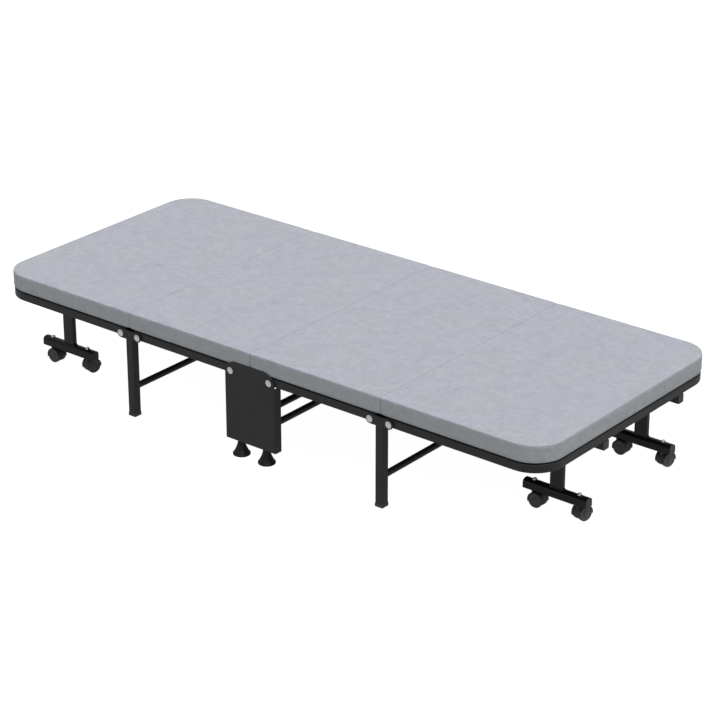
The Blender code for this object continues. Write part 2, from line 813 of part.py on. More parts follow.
def half_cot(half, sign, root, centre_hole):
    """One half of the cot: inner section, leg frame, outer section and its two stands."""
    pivot = (sign * CENTRE_PIVOT, 0, BOLT_Z)
    inner = new_body(f"body_{half}_inner", pivot, root)
    inner_x, outer_x = sign * (LEG_X - LEG_BOLT), sign * (LEG_X + LEG_BOLT)
    leg = new_body(f"body_{half}_leg", (inner_x, 0, BOLT_Z), inner)
    outer = new_body(f"body_{half}_outer", (outer_x, 0, BOLT_Z), leg)
    inner_hole = pivot_hole(half + "_inner_pivot_hole", inner_x)
    outer_hole = pivot_hole(half + "_outer_pivot_hole", outer_x)
    inner_section(half, sign, inner, (centre_hole, inner_hole))
    leg_frame(half, sign, leg, (inner_hole, outer_hole))
    outer_section(half, sign, outer, (outer_hole,))
    for beam_y in BEAM_Y:
        outward = 1 if beam_y > 0 else -1
        shift = outward * (BEAM_SIZE + POST_THICKNESS + 2 * POST_SPACE) / 2
        y = sign * (beam_y + shift)
        word = "near" if y < 0 else "far"
        stand_with_casters(half, word, sign, y, sign * outward, outer)


def main():
    root = new_body("body_centre_stand", (0, 0, 0))
    holes = {}
    for half, sign in (("head", -1), ("foot", 1)):
        holes[half] = pivot_hole(half + "_centre_pivot_hole", sign * CENTRE_PIVOT)
    centre_stand(root, tuple(holes.values()))
    for half, sign in (("head", -1), ("foot", 1)):
        half_cot(half, sign, root, holes[half])


main()
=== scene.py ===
"""The looks of the folding cot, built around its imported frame.

Positions come from the frame's boxes and joints. Shapes are made for the foot half and turned
half a turn for the head half. Everything is in metres: +X towards the foot end, +Z up.
"""

import json
import math

import bmesh
import bpy
import numpy as np
from mathutils import Matrix, Vector


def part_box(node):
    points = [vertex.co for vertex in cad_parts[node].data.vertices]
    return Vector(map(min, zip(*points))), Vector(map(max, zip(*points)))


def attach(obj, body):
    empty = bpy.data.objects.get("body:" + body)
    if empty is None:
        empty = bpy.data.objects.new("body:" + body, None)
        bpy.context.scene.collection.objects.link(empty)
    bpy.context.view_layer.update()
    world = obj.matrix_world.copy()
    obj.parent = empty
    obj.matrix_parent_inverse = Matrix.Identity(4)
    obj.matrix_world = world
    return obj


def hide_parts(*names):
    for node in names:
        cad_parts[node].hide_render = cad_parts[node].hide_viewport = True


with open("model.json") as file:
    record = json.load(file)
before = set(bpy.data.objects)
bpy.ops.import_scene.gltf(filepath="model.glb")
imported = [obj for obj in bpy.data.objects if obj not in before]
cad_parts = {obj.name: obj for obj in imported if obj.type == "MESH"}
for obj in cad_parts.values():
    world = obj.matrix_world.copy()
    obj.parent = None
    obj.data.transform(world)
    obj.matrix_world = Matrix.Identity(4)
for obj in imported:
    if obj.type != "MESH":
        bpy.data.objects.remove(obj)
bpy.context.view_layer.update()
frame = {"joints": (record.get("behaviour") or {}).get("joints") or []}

JOINTS = {joint["name"]: joint for joint in frame["joints"]}
HALVES = {"head": Matrix.Rotation(math.pi, 4, "Z"), "foot": Matrix.Identity(4)}
SIDES = {"near": -1, "far": 1}
X, Y, Z = Vector((1, 0, 0)), Vector((0, 1, 0)), Vector((0, 0, 1))
LAID = Matrix.Rotation(math.radians(90), 4, "X")


def pivot(name):
    return Vector(JOINTS[name]["pos_m"])


# Places and sizes read from the frame
RAIL_LOW, RAIL_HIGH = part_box("foot_inner_frame")
END_LOW, END_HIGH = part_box("foot_end_rail")
LEG_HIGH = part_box("foot_leg_frame")[1]
PLATE_LOW, PLATE_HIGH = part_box("centre_plate_far")
BAR_LOW, BAR_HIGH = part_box("foot_far_stand")
CARRIER_LOW, CARRIER_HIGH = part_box("foot_carrier")
CENTRE_PIVOT = pivot("foot_fold")
INNER_PIVOT = pivot("foot_leg_pivot")
OUTER_PIVOT = pivot("foot_outer_pivot")
LEG_X = (INNER_PIVOT.x + OUTER_PIVOT.x) / 2
RAIL_FACE = RAIL_HIGH.y
RAIL_Z = (RAIL_LOW.z + RAIL_HIGH.z) / 2
PLATE_FACE = PLATE_HIGH.y

GAP = 0.0003

# Tubes and sheets
RAIL_WIDTH = 0.020
RAIL_DEPTH = RAIL_HIGH.z - RAIL_LOW.z
TUBE_CORNER = 0.0028
WALL = 0.0015
CROSS_TUBE = 0.018
CROSS_TUBE_Z = RAIL_LOW.z + 0.011
INNER_CROSS_TUBES = (0.115, 0.355)
LEG_SIZE = 0.025
LEG_CAP_HEIGHT = 0.011
LEG_CAP_LIP = 0.0006
LEG_FOOT = 0.003
LEG_BAR_Z = 0.0865
LEG_BAR_RADIUS = 0.0091
EAR_RADIUS = 0.0135
EAR_THICKNESS = 0.0025
EAR_STEP = 0.0002
CENTRE_BAR_RADIUS = 0.0094
SHEET = 0.0025
SHEET_BEND = 0.0026
PLATE_CORNER = 0.038
FLANGE_TOP = 0.235
BEAM_SIZE = 0.025
PLUG_HEAD = 0.0016
PLUG_STEM = 0.010
BAR_TOP = 0.0725
CASTER_REACH = 0.070
POST_WIDTH = 0.040
POST_THICKNESS = 0.016
POST_CORNER = 0.0035
POST_GAP = 0.0015
BAR_CORNER = 0.0045
BAR_TOP_CORNER = 0.0110
BAR_PLUG_HEAD = 0.0020
BAR_PLUG_STEM = 0.012
CORNER_RADIUS = 0.0765

# Welds: a bead is rippled along its length, and tubes run slightly into what they join
WELD_RADIUS = 0.0016
WELD_STEP = 0.0016
WELD_SEGMENTS = 8
WELD_RIPPLE = 0.16
WELD_RIPPLE_TURN = 2.1
WELD_SINK = 0.0004

# Bolts
HOLE_RADIUS = 0.0043
DRILL_LENGTH = 0.06
BOLT_RADIUS = 0.004
BOLT_END = 0.0082
HEAD_RADIUS = 0.010
HEAD_HEIGHT = 0.005
HEAD_RIM = 0.0013
BOLT_NUT_RADIUS = 0.0075
BOLT_NUT_END = 0.0068
COLLAR_RADIUS = 0.0078

# Flared feet
CONE_NECK = 0.0100
CONE_SWELL = 1.7
CONE_SHOULDER = 0.0062
CONE_EDGE = 0.0018
CONE_RIM = 0.0014
STUD_RADIUS = 0.0037
STUD_ROOT = 0.0033
STUD_PITCH = 0.0009
STUD_THREADS = 9
STUD_NUT_RADIUS = 0.0065
STUD_NUT_HEIGHT = 0.0057

# Casters
CASTER_TRAIL = 0.011
WHEEL_RADIUS = 0.021
WHEEL_FACE = 0.0163
WHEEL_INNER = 0.0049
HOOD_RADIUS = 0.0230
HOOD_CLEARANCE = 0.0218
HOOD_HALF_WIDTH = 0.0170
HOOD_ANGLES = (-8, 198)
WEB_RADIUS = 0.0222
WEB_HALF_WIDTH = 0.0030
WEB_TILT = 14
SOCKET_RADIUS = 0.0082
SOCKET_TOP = 0.0446
STEM_TOP = 0.079
STEM_RADIUS = 0.0040
STEM_NUT_RADIUS = 0.0066
STEM_NUT_HEIGHT = 0.0040
AXLE_RADIUS = 0.003

# Soft pads
PAD_EDGE = 0.0055
PAD_SEAM_EDGE = 0.0005
PAD_SEAM_REACH = 0.00022
PAD_SEAM_CORNER = 0.0065
PAD_END_CORNER = 0.088
PAD_CELL = 0.009
PAD_EDGE_STEPS = 4
PAD_SIDE_STEPS = 5
WRINKLE_SHARE = 0.22
WRINKLE_LIMIT = 0.0022
WELT_RADIUS = 0.0008

# Mesh detail, and the light and camera
TUBE_STEPS = 4
ROD_SEGMENTS = 24
TURN_SEGMENTS = 40
BEVEL_ANGLE = 25
SMOOTH_ANGLE = 32
FLOOR_SIZE = 30
FLOOR_GREY = (0.16, 0.16, 0.16, 1)
WHITE = (1, 1, 1, 1)
SUN_STRENGTH = 2.6
SUN_WAY = Vector((-0.24, 0.04, -0.97))
SUN_ANGLE = 50
CAMERA_LENS = 124.5
CAMERA_SENSOR = 36
CAMERA_PLACE = (4.0144, -4.9309, 3.0110)
CAMERA_TILT = 90 - 24.18
CAMERA_TURN = 38.76


# Materials


class Shader:
    """A material's nodes, made one after another."""

    def __init__(self, name):
        self.material = bpy.data.materials.new(name)
        self.material.use_nodes = True
        self.tree = self.material.node_tree
        self.shader = self.tree.nodes["Principled BSDF"]
        self.coordinates = self.add("ShaderNodeTexCoord", {}).outputs["Object"]

    def fill(self, node, sockets):
        """Gives each socket a plain value or the output of another node."""
        for name, value in sockets.items():
            if isinstance(value, bpy.types.NodeSocket):
                self.tree.links.new(value, node.inputs[name])
            else:
                node.inputs[name].default_value = value
        return node

    def add(self, kind, sockets, **settings):
        node = self.tree.nodes.new(kind)
        for name, value in settings.items():
            setattr(node, name, value)
        return self.fill(node, sockets)

    def stretched(self, scale):
        """The coordinates, scaled by a different amount along each axis."""
        sockets = {"Scale": scale, "Vector": self.coordinates}
        return self.add("ShaderNodeMapping", sockets).outputs["Vector"]

    def noise(self, scale, detail, roughness, vector=None):
        sockets = {"Scale": scale, "Detail": detail, "Roughness": roughness}
        sockets["Vector"] = vector or self.coordinates
        return self.add("ShaderNodeTexNoise", sockets).outputs["Fac"]

    def bands(self, scale, axis, distortion):
        sockets = {"Scale": scale, "Distortion": distortion, "Vector": self.coordinates}
        return self.add("ShaderNodeTexWave", sockets, bands_direction=axis).outputs["Fac"]

    def math(self, operation, first, second):
        sockets = {0: first, 1: second}
        return self.add("ShaderNodeMath", sockets, operation=operation).outputs["Value"]

    def weighted(self, *parts):
        """The sum of (value, share) parts."""
        total = 0.0
        for value, share in parts:
            total = self.math("ADD", total, self.math("MULTIPLY", value, share))
        return total

    def ramp(self, factor, stops):
        node = self.add("ShaderNodeValToRGB", {"Fac": factor})
        elements = node.color_ramp.elements
        while len(elements) < len(stops):
            elements.new(0.5)
        for element, (position, colour) in zip(elements, stops):
            element.position = position
            element.color = (*colour, 1.0)
        return node.outputs["Color"]

    def span(self, factor, low, high):
        sockets = {"Value": factor, "To Min": low, "To Max": high}
        return self.add("ShaderNodeMapRange", sockets).outputs["Result"]

    def bump(self, height, distance, strength, normal=None):
        sockets = {"Height": height, "Distance": distance, "Strength": strength}
        if normal:
            sockets["Normal"] = normal
        return self.add("ShaderNodeBump", sockets).outputs["Normal"]

    def done(self, colour, roughness, normal, metallic=0.0, sheen=0.0, specular=0.5):
        sockets = {"Base Color": colour, "Roughness": roughness, "Normal": normal}
        sockets.update({"Metallic": metallic, "Sheen Weight": sheen})
        sockets["Specular IOR Level"] = specular
        self.fill(self.shader, sockets)
        return self.material


def fabric_material(name, shade):
    """A heathered plain weave: two sets of threads with slubs and slow changes of tone
    between a lilac grey and a green grey. The green grey low on the pads' sides is painted shade,
    the tint the sides show in their lower light."""
    made = Shader(name)
    warp = made.noise(1.0, 3.0, 0.65, made.stretched((45, 600, 600)))
    weft = made.noise(1.0, 3.0, 0.65, made.stretched((600, 45, 600)))
    slubs = made.noise(1.0, 3.0, 0.60, made.stretched((46, 105, 105)))
    cross_slubs = made.noise(1.0, 3.0, 0.60, made.stretched((95, 40, 95)))
    fine = made.noise(800, 2.0, 0.7)
    mottle = made.noise(30, 4.0, 0.65)
    slow = made.noise(7.0, 3.0, 0.55)
    threads = made.weighted((warp, 0.5), (weft, 0.5))
    streaks = made.weighted((slubs, 0.5), (cross_slubs, 0.5))
    tone = made.weighted(
        (threads, 0.26), (fine, 0.10), (streaks, 0.34), (mottle, 0.22), (slow, 0.08)
    )
    lilac = ((0.322, 0.328, 0.386), (0.393, 0.398, 0.463), (0.470, 0.473, 0.540))
    green = ((0.312, 0.334, 0.352), (0.379, 0.402, 0.424), (0.454, 0.479, 0.498))
    ramps = []
    for colours in (lilac, green):
        tints = [tuple(shade * value for value in colour) for colour in colours]
        ramps.append(made.ramp(tone, list(zip((0.36, 0.50, 0.64), tints))))
    split = made.add("ShaderNodeSeparateXYZ", {"Vector": made.coordinates})
    # Painted shade: below a set height, on the pads' sides, the cloth takes the green grey the
    # sides show in their lower light.
    side_shade_mask = made.ramp(split.outputs["Z"], ((0.308, (1, 1, 1)), (0.314, (0, 0, 0))))
    patches = made.ramp(slow, ((0.42, (0, 0, 0)), (0.66, (1, 1, 1))))
    # Random green patches are the cloth's own tone; the height mask adds the painted side shade.
    green_patches_and_side_shade = made.math("MAXIMUM", patches, side_shade_mask)
    blend = made.add("ShaderNodeMix", {6: ramps[0], 7: ramps[1], 0: green_patches_and_side_shade}, data_type="RGBA")
    weave = made.math("MULTIPLY", made.bands(270, "X", 0.6), made.bands(270, "Y", 0.6))
    weave = made.math("ADD", weave, made.bands(270, "Z", 0.6))
    creases = made.noise(1.0, 4.0, 0.6, made.stretched((16, 34, 34)))
    normal = made.bump(creases, 0.006, 0.5)
    normal = made.bump(threads, 0.0012, 0.5, normal)
    normal = made.bump(weave, 0.0004, 0.55, normal)
    roughness = made.span(fine, 0.86, 0.98)
    return made.done(blend.outputs[2], roughness, normal, sheen=0.12, specular=0.3)


def coated_material(name, low, high, roughness, grain):
    """Powder-coated or moulded: an even colour with a fine uneven skin."""
    made = Shader(name)
    skin = made.noise(grain, 2.0, 0.5)
    slow = made.noise(9.0, 3.0, 0.55)
    colour = made.ramp(slow, ((0.3, low), (0.7, high)))
    normal = made.bump(skin, 0.0005, 0.22)
    spread = made.span(slow, roughness - 0.05, roughness + 0.06)
    return made.done(colour, spread, normal, specular=0.34)


def zinc_material(name):
    """Bright plated steel with fine turning marks."""
    made = Shader(name)
    marks = made.noise(1400, 2.0, 0.5)
    slow = made.noise(60, 2.0, 0.5)
    colour = made.ramp(slow, ((0.3, (0.78, 0.78, 0.77)), (0.7, (0.90, 0.90, 0.88))))
    normal = made.bump(marks, 0.0002, 0.15)
    return made.done(colour, made.span(marks, 0.14, 0.24), normal, metallic=1.0)


COATINGS = {
    "black_powder_coat": ((0.017, 0.017, 0.018), (0.023, 0.023, 0.024), 0.40, 1100),
    "black_gloss_coat": ((0.006, 0.006, 0.006), (0.009, 0.009, 0.009), 0.22, 300),
    "coated_weld": ((0.015, 0.015, 0.0155), (0.021, 0.021, 0.0215), 0.36, 500),
    "black_plastic": ((0.036, 0.034, 0.032), (0.050, 0.048, 0.045), 0.46, 700),
    "caster_disc": ((0.072, 0.068, 0.064), (0.094, 0.089, 0.084), 0.52, 600),
    "black_rubber": ((0.004, 0.004, 0.0045), (0.008, 0.008, 0.0085), 0.50, 900),
    # The board's near black is partly painted shade, darkening the band under the pads' rims.
    "black_board_and_shade": ((0.003, 0.003, 0.003), (0.006, 0.006, 0.006), 0.85, 400),
}
COATED, GLOSSY, WELDED, PLASTIC, DISC, RUBBER, BOARD_AND_SHADE = [
    coated_material(name, *finish) for name, finish in COATINGS.items()
]
ZINC = zinc_material("bright_zinc")
FABRIC = fabric_material("heathered_grey_cloth", 1.0)
WELT = fabric_material("heathered_grey_welt", 0.93)


# Mesh shapes


def mesh_of(work):
    """The finished mesh of a bmesh, with its faces pointing outwards."""
    bmesh.ops.recalc_face_normals(work, faces=work.faces)
    mesh = bpy.data.meshes.new("shape")
    work.to_mesh(mesh)
    work.free()
    return mesh


def mesh_from(points, faces):
    mesh = bpy.data.meshes.new("shape")
    mesh.from_pydata([tuple(point) for point in points], [], faces)
    work = bmesh.new()
    work.from_mesh(mesh)
    return mesh_of(work)


def joined(*meshes):
    work = bmesh.new()
    for mesh in meshes:
        work.from_mesh(mesh)
    return mesh_of(work)


def moved(mesh, matrix):
    copy = mesh.copy()
    copy.transform(matrix)
    return copy


def lifted(mesh, height):
    return moved(mesh, Matrix.Translation((0, 0, height)))


def along(direction, place):
    """A matrix that stands a shape made along Z along a direction, at a place."""
    turn = Vector(direction).to_track_quat("Z", "Y").to_matrix().to_4x4()
    return Matrix.Translation(place) @ turn


def rounded_rectangle(width, height, radius, steps=TUBE_STEPS, top_radius=None):
    """Points round a rectangle with round corners, anticlockwise from the right."""
    points = []
    for quarter in range(4):
        across = 1 if quarter in (0, 3) else -1
        up = 1 if quarter in (0, 1) else -1
        corner = top_radius if top_radius and up > 0 else radius
        for step in range(steps + 1):
            angle = (quarter + step / steps) * math.pi / 2
            points.append((
                across * (width / 2 - corner) + corner * math.cos(angle),
                up * (height / 2 - corner) + corner * math.sin(angle),
            ))
    return points


def circle(radius, segments=ROD_SEGMENTS):
    turns = [2 * math.pi * k / segments for k in range(segments)]
    return [(radius * math.cos(turn), radius * math.sin(turn)) for turn in turns]


def swept_rings(path, section, up, closed, swell):
    """The rings of points where a section stands on each point of a path."""
    points = [Vector(point) for point in path]
    count = len(points)
    rings = []
    for k, point in enumerate(points):
        ahead = points[(k + 1) % count] - point if closed or k < count - 1 else None
        behind = point - points[k - 1] if closed or k else None
        steps = [step.normalized() for step in (ahead, behind) if step]
        tangent = sum(steps, Vector()).normalized()
        stretch = 1 / max(0.5, tangent.dot(steps[0]))
        side = tangent.cross(up).normalized()
        rise = side.cross(tangent)
        size = swell(k) if swell else 1.0
        rings.append([point + size * (side * a * stretch + rise * b) for a, b in section])
    return rings


def swept(path, section, up, inner=None, closed=False, swell=None):
    """A solid bar along a path, or a tube with an inner section, open at its ends."""
    size = len(section)
    points, faces = [], []

    def skin(shape):
        start = len(points)
        rings = swept_rings(path, shape, up, closed, swell)
        for ring in rings:
            points.extend(ring)
        for k in range(len(rings) if closed else len(rings) - 1):
            here = start + k * size
            there = start + (k + 1) % len(rings) * size
            for n in range(size):
                m = (n + 1) % size
                faces.append((here + n, here + m, there + m, there + n))
        return start, start + (len(rings) - 1) * size

    first, last = skin(section)
    if closed:
        return mesh_from(points, faces)
    if inner is None:
        faces.append([first + n for n in range(size)])
        faces.append([last + n for n in range(size)])
        return mesh_from(points, faces)
    for outside, inside in zip((first, last), skin(inner)):
        for n in range(size):
            m = (n + 1) % size
            faces.append((outside + n, outside + m, inside + m, inside + n))
    return mesh_from(points, faces)


def square_tube(path, width, height, up=Z, corner=TUBE_CORNER, top_corner=None):
    outer = rounded_rectangle(width, height, corner, top_radius=top_corner)
    inside = top_corner - WALL if top_corner else None
    inner = rounded_rectangle(
        width - 2 * WALL, height - 2 * WALL, corner - WALL, top_radius=inside
    )
    return swept(path, outer, up, inner)


def round_tube(start, end, radius):
    return swept((start, end), circle(radius), Z, circle(radius - WALL))


def turned(profile, segments=TURN_SEGMENTS):
    """A solid of revolution about Z from a profile of (radius, height)."""
    points, faces, rings = [], [], []
    for radius, height in profile:
        start = len(points)
        if radius == 0:
            points.append((0, 0, height))
            rings.append([start] * segments)
            continue
        points.extend((a, b, height) for a, b in circle(radius, segments))
        rings.append(list(range(start, start + segments)))
    for lower, upper in zip(rings, rings[1:]):
        for n in range(segments):
            m = (n + 1) % segments
            face = [lower[n], lower[m], upper[m], upper[n]]
            faces.append(list(dict.fromkeys(face)))
    return mesh_from(points, faces)


def arc(centre, radius, start, end, steps):
    """Points along an arc, its angles in degrees."""
    turns = [math.radians(start + (end - start) * k / steps) for k in range(steps + 1)]
    return [(centre[0] + radius * math.cos(a), centre[1] + radius * math.sin(a)) for a in turns]


def softened(work, edges, width, segments):
    bmesh.ops.bevel(
        work, geom=edges, offset=width, segments=segments, profile=0.5, affect="EDGES",
        clamp_overlap=True,
    )


def plate(outline, thickness, edge, segments=2):
    """A flat outline raised from Z = 0, with its rims softened."""
    work = bmesh.new()
    apart = [p for k, p in enumerate(outline) if math.dist(p, outline[k - 1]) > 1e-6]
    low = [work.verts.new((a, b, 0)) for a, b in apart]
    face = work.faces.new(low)
    raised = bmesh.ops.extrude_face_region(work, geom=[face])
    top = [v for v in raised["geom"] if isinstance(v, bmesh.types.BMVert)]
    bmesh.ops.translate(work, vec=(0, 0, thickness), verts=top)
    bmesh.ops.recalc_face_normals(work, faces=work.faces)
    rims = [e for e in work.edges if abs(e.verts[0].co.z - e.verts[1].co.z) < 1e-6]
    softened(work, rims, edge, segments)
    return mesh_of(work)


def block(low, high, edge, segments=2):
    """A box with soft edges, or with sharp ones where the edge is 0."""
    work = bmesh.new()
    bmesh.ops.create_cube(work, size=1.0)
    low, high = Vector(low), Vector(high)
    bmesh.ops.scale(work, vec=high - low, verts=work.verts)
    bmesh.ops.translate(work, vec=(low + high) / 2, verts=work.verts)
    if edge:
        sharp = [e for e in work.edges if e.calc_face_angle(0) > math.radians(BEVEL_ANGLE)]
        softened(work, sharp, edge, segments)
    return mesh_of(work)


def hexagon(radius, low, high):
    """A hexagonal nut with chamfered corners."""
    return lifted(plate(circle(radius, 6), high - low, 0.0008), low)


def combined(mesh, operation, *others):
    """The mesh after exact Booleans with the others."""
    link = bpy.context.scene.collection.objects.link
    body = bpy.data.objects.new("boolean_body", mesh)
    link(body)
    helpers = [body]
    for other in others:
        tool = bpy.data.objects.new("boolean_tool", other)
        link(tool)
        helpers.append(tool)
        step = body.modifiers.new("step", "BOOLEAN")
        step.operation = operation
        step.solver = "EXACT"
        step.object = tool
    graph = bpy.context.evaluated_depsgraph_get()
    made = bpy.data.meshes.new_from_object(body.evaluated_get(graph))
    for helper in helpers:
        bpy.data.objects.remove(helper)
    return made


def rod(place, direction, radius, length):
    half = length / 2
    profile = ((0, -half), (radius, -half), (radius, half), (0, half))
    return moved(turned(profile, ROD_SEGMENTS), along(direction, place))


def drilled(mesh, *holes):
    """The mesh with bolt holes, each a (place, direction)."""
    drills = [rod(place, way, HOLE_RADIUS, DRILL_LENGTH) for place, way in holes]
    return combined(mesh, "DIFFERENCE", *drills)


def ripple(k):
    """The swell of a weld bead at its kth point."""
    return 1.0 + WELD_RIPPLE * math.sin(WELD_RIPPLE_TURN * k)


def straight_bead(start, end, steps, radius, up):
    line = [start.lerp(end, k / steps) for k in range(steps + 1)]
    return swept(line, circle(radius, WELD_SEGMENTS), up, swell=ripple)


def bead(outline, matrix, radius=WELD_RADIUS):
    """A weld bead round an outline."""
    path = []
    count = len(outline)
    for k, corner in enumerate(outline):
        start, end = Vector((*corner, 0)), Vector((*outline[(k + 1) % count], 0))
        steps = max(1, round((end - start).length / WELD_STEP))
        path += [start.lerp(end, n / steps) for n in range(steps)]
    mesh = swept(path, circle(radius, WELD_SEGMENTS), Z, closed=True, swell=ripple)
    return moved(mesh, matrix)


# Pieces


def piece(name, mesh, material, body, nodes=(), matrix=None, weighted=True):
    """A shown piece that rides on a body and may stand for nodes of the frame."""
    if not mesh.materials:
        mesh.materials.append(material)
        mesh.shade_smooth()
        mesh.set_sharp_from_angle(angle=math.radians(SMOOTH_ANGLE))
    mesh.name = name
    made = bpy.data.objects.new(name, mesh)
    bpy.context.scene.collection.objects.link(made)
    if matrix is not None:
        made.matrix_world = matrix
    if weighted:
        normals = made.modifiers.new("normals", "WEIGHTED_NORMAL")
        normals.keep_sharp = True
    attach(made, body)
    if nodes:
        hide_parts(*nodes)
    return made


def both_halves(name, mesh, material, body, nodes=()):
    """The same piece on each half. Names hold a {} where the half's name goes."""
    for half, turn in HALVES.items():
        replaced = [node.format(half) for node in nodes]
        piece(name.format(half), mesh, material, body.format(half), replaced, turn)


# Soft pads


def grid_lines(low, high, corner_low, corner_high):
    """Grid positions from low to high, with a line where each end's round corner starts."""
    stops = (low, low + corner_low, high - corner_high, high)
    lines = [low]
    for start, end in zip(stops, stops[1:]):
        count = max(1, round((end - start) / PAD_CELL))
        lines += [start + (end - start) * k / count for k in range(1, count + 1)]
    return lines


class PadShape:
    """A slab of quads: a flat grid above and below, joined by a rounded rim and side. It meets
    the next pad at x = 0, and at x = length unless that end is the bed's own round end."""

    def __init__(self, length, half_width, bottom, top, corner, round_end):
        self.length = length
        self.bottom, self.top = bottom, top
        self.corner = corner - PAD_EDGE
        self.round_end = round_end
        self.end_x = length - (PAD_EDGE if round_end else PAD_SEAM_EDGE)
        self.seam_corner = PAD_SEAM_CORNER - PAD_EDGE
        self.inner_y = half_width - PAD_EDGE
        self.points, self.faces = [], []
        self.build()

    def place(self, x, y):
        """Pulls a grid point in from a square corner to a round one."""
        outer = x > self.length / 2
        radius = self.corner if outer else self.seam_corner
        edge_x = self.end_x - radius if outer else PAD_SEAM_EDGE + radius
        way = 1 if outer else -1
        past_x, past_y = way * (x - edge_x), abs(y) - (self.inner_y - radius)
        if past_x <= 0 or past_y <= 0:
            return x, y
        u, v = past_x / radius, past_y / radius
        moved_x = u * math.sqrt(1 - v * v / 2) * radius
        moved_y = v * math.sqrt(1 - u * u / 2) * radius
        return edge_x + way * moved_x, math.copysign(self.inner_y - radius + moved_y, y)

    def add_grid(self, z):
        start = len(self.points)
        self.points += [(x, y, z) for row in self.plan for x, y in row]
        rows, columns = len(self.plan), len(self.plan[0])
        for i in range(rows - 1):
            for j in range(columns - 1):
                here = start + i * columns + j
                self.faces.append((here, here + columns, here + columns + 1, here + 1))
        return [start + i * columns + j for i, j in self.perimeter]

    def add_side(self, upper, lower):
        count = len(upper)
        for n in range(count):
            m = (n + 1) % count
            self.faces.append((upper[n], lower[n], lower[m], upper[m]))

    def add_ring(self, out, heights):
        """A ring of points round the grid's rim, its reach in edge radii."""
        start = len(self.points)
        places = self.rim + self.out * self.edges[:, None] * out
        self.points += [(x, y, z) for (x, y), z in zip(places, heights)]
        return list(range(start, len(self.points)))

    def build(self):
        xs = grid_lines(PAD_SEAM_EDGE, self.end_x, self.seam_corner, self.corner)
        ys = grid_lines(-self.inner_y, self.inner_y, self.corner, self.corner)
        near_corner = self.inner_y - self.seam_corner
        ys = sorted({round(y, 6) for y in (*ys, near_corner, -near_corner)})
        self.plan = [[self.place(x, y) for y in ys] for x in xs]
        last_x, last_y = len(xs) - 1, len(ys) - 1
        self.perimeter = [(i, 0) for i in range(last_x + 1)]
        self.perimeter += [(last_x, j) for j in range(1, last_y + 1)]
        self.perimeter += [(i, last_y) for i in range(last_x - 1, -1, -1)]
        self.perimeter += [(0, j) for j in range(last_y - 1, 0, -1)]
        self.rim = np.array([self.plan[i][j] for i, j in self.perimeter])
        tangent = np.roll(self.rim, -1, 0) - np.roll(self.rim, 1, 0)
        out = np.stack([tangent[:, 1], -tangent[:, 0]], 1)
        self.out = out / np.linalg.norm(out, axis=1)[:, None]
        seam_share = np.clip(-self.out[:, 0], 0, 1)
        if not self.round_end:
            seam_share = np.abs(self.out[:, 0])
        self.edges = edges = PAD_EDGE + (PAD_SEAM_EDGE - PAD_EDGE) * seam_share
        turns = [math.radians(90 * k / PAD_EDGE_STEPS) for k in range(PAD_EDGE_STEPS + 1)]
        rings = [self.add_grid(self.top)]
        for a in turns[1:]:
            rings.append(self.add_ring(math.sin(a), self.top - edges * (1 - math.cos(a))))
        height = self.top - self.bottom
        for k in range(1, PAD_SIDE_STEPS):
            drops = (height - 2 * edges) * k / PAD_SIDE_STEPS
            rings.append(self.add_ring(1, self.top - edges - drops))
        for a in turns[:-1]:
            rings.append(self.add_ring(math.cos(a), self.bottom + edges * (1 - math.sin(a))))
        rings.append(self.add_grid(self.bottom))
        for upper, lower in zip(rings, rings[1:]):
            self.add_side(upper, lower)
        last = 2 * last_x + last_y - 1
        spans = [(2, last)] if self.round_end else [(2, last_x - 1), (last_x + last_y + 2, last)]
        self.welts = [ring[a:b] for ring in (rings[2], rings[-3]) for a, b in spans]

    def looseness(self, point):
        """How freely the cover moves over the foam: 0 is held and 1 is free."""
        x, y, z = point
        to_end = min(x - PAD_SEAM_EDGE, self.end_x - x)
        if z <= self.bottom + 0.004:
            return 0.0
        if z >= self.top - 1e-5:
            corner_x = self.end_x - self.corner
            corner_y = self.inner_y - self.corner
            reach = self.inner_y - abs(y)
            if x > corner_x and abs(y) > corner_y:
                reach = self.corner - math.hypot(x - corner_x, abs(y) - corner_y)
            return min(1.0, max(0.0, min(to_end, reach) / 0.022))
        middle = (self.top + self.bottom) / 2
        share = 1 - abs(z - middle) / (self.top - middle)
        from_seam = x if self.round_end else min(x, self.length - x)
        return 0.0 if from_seam < PAD_SEAM_CORNER else min(1.0, max(0.0, share - 0.15))


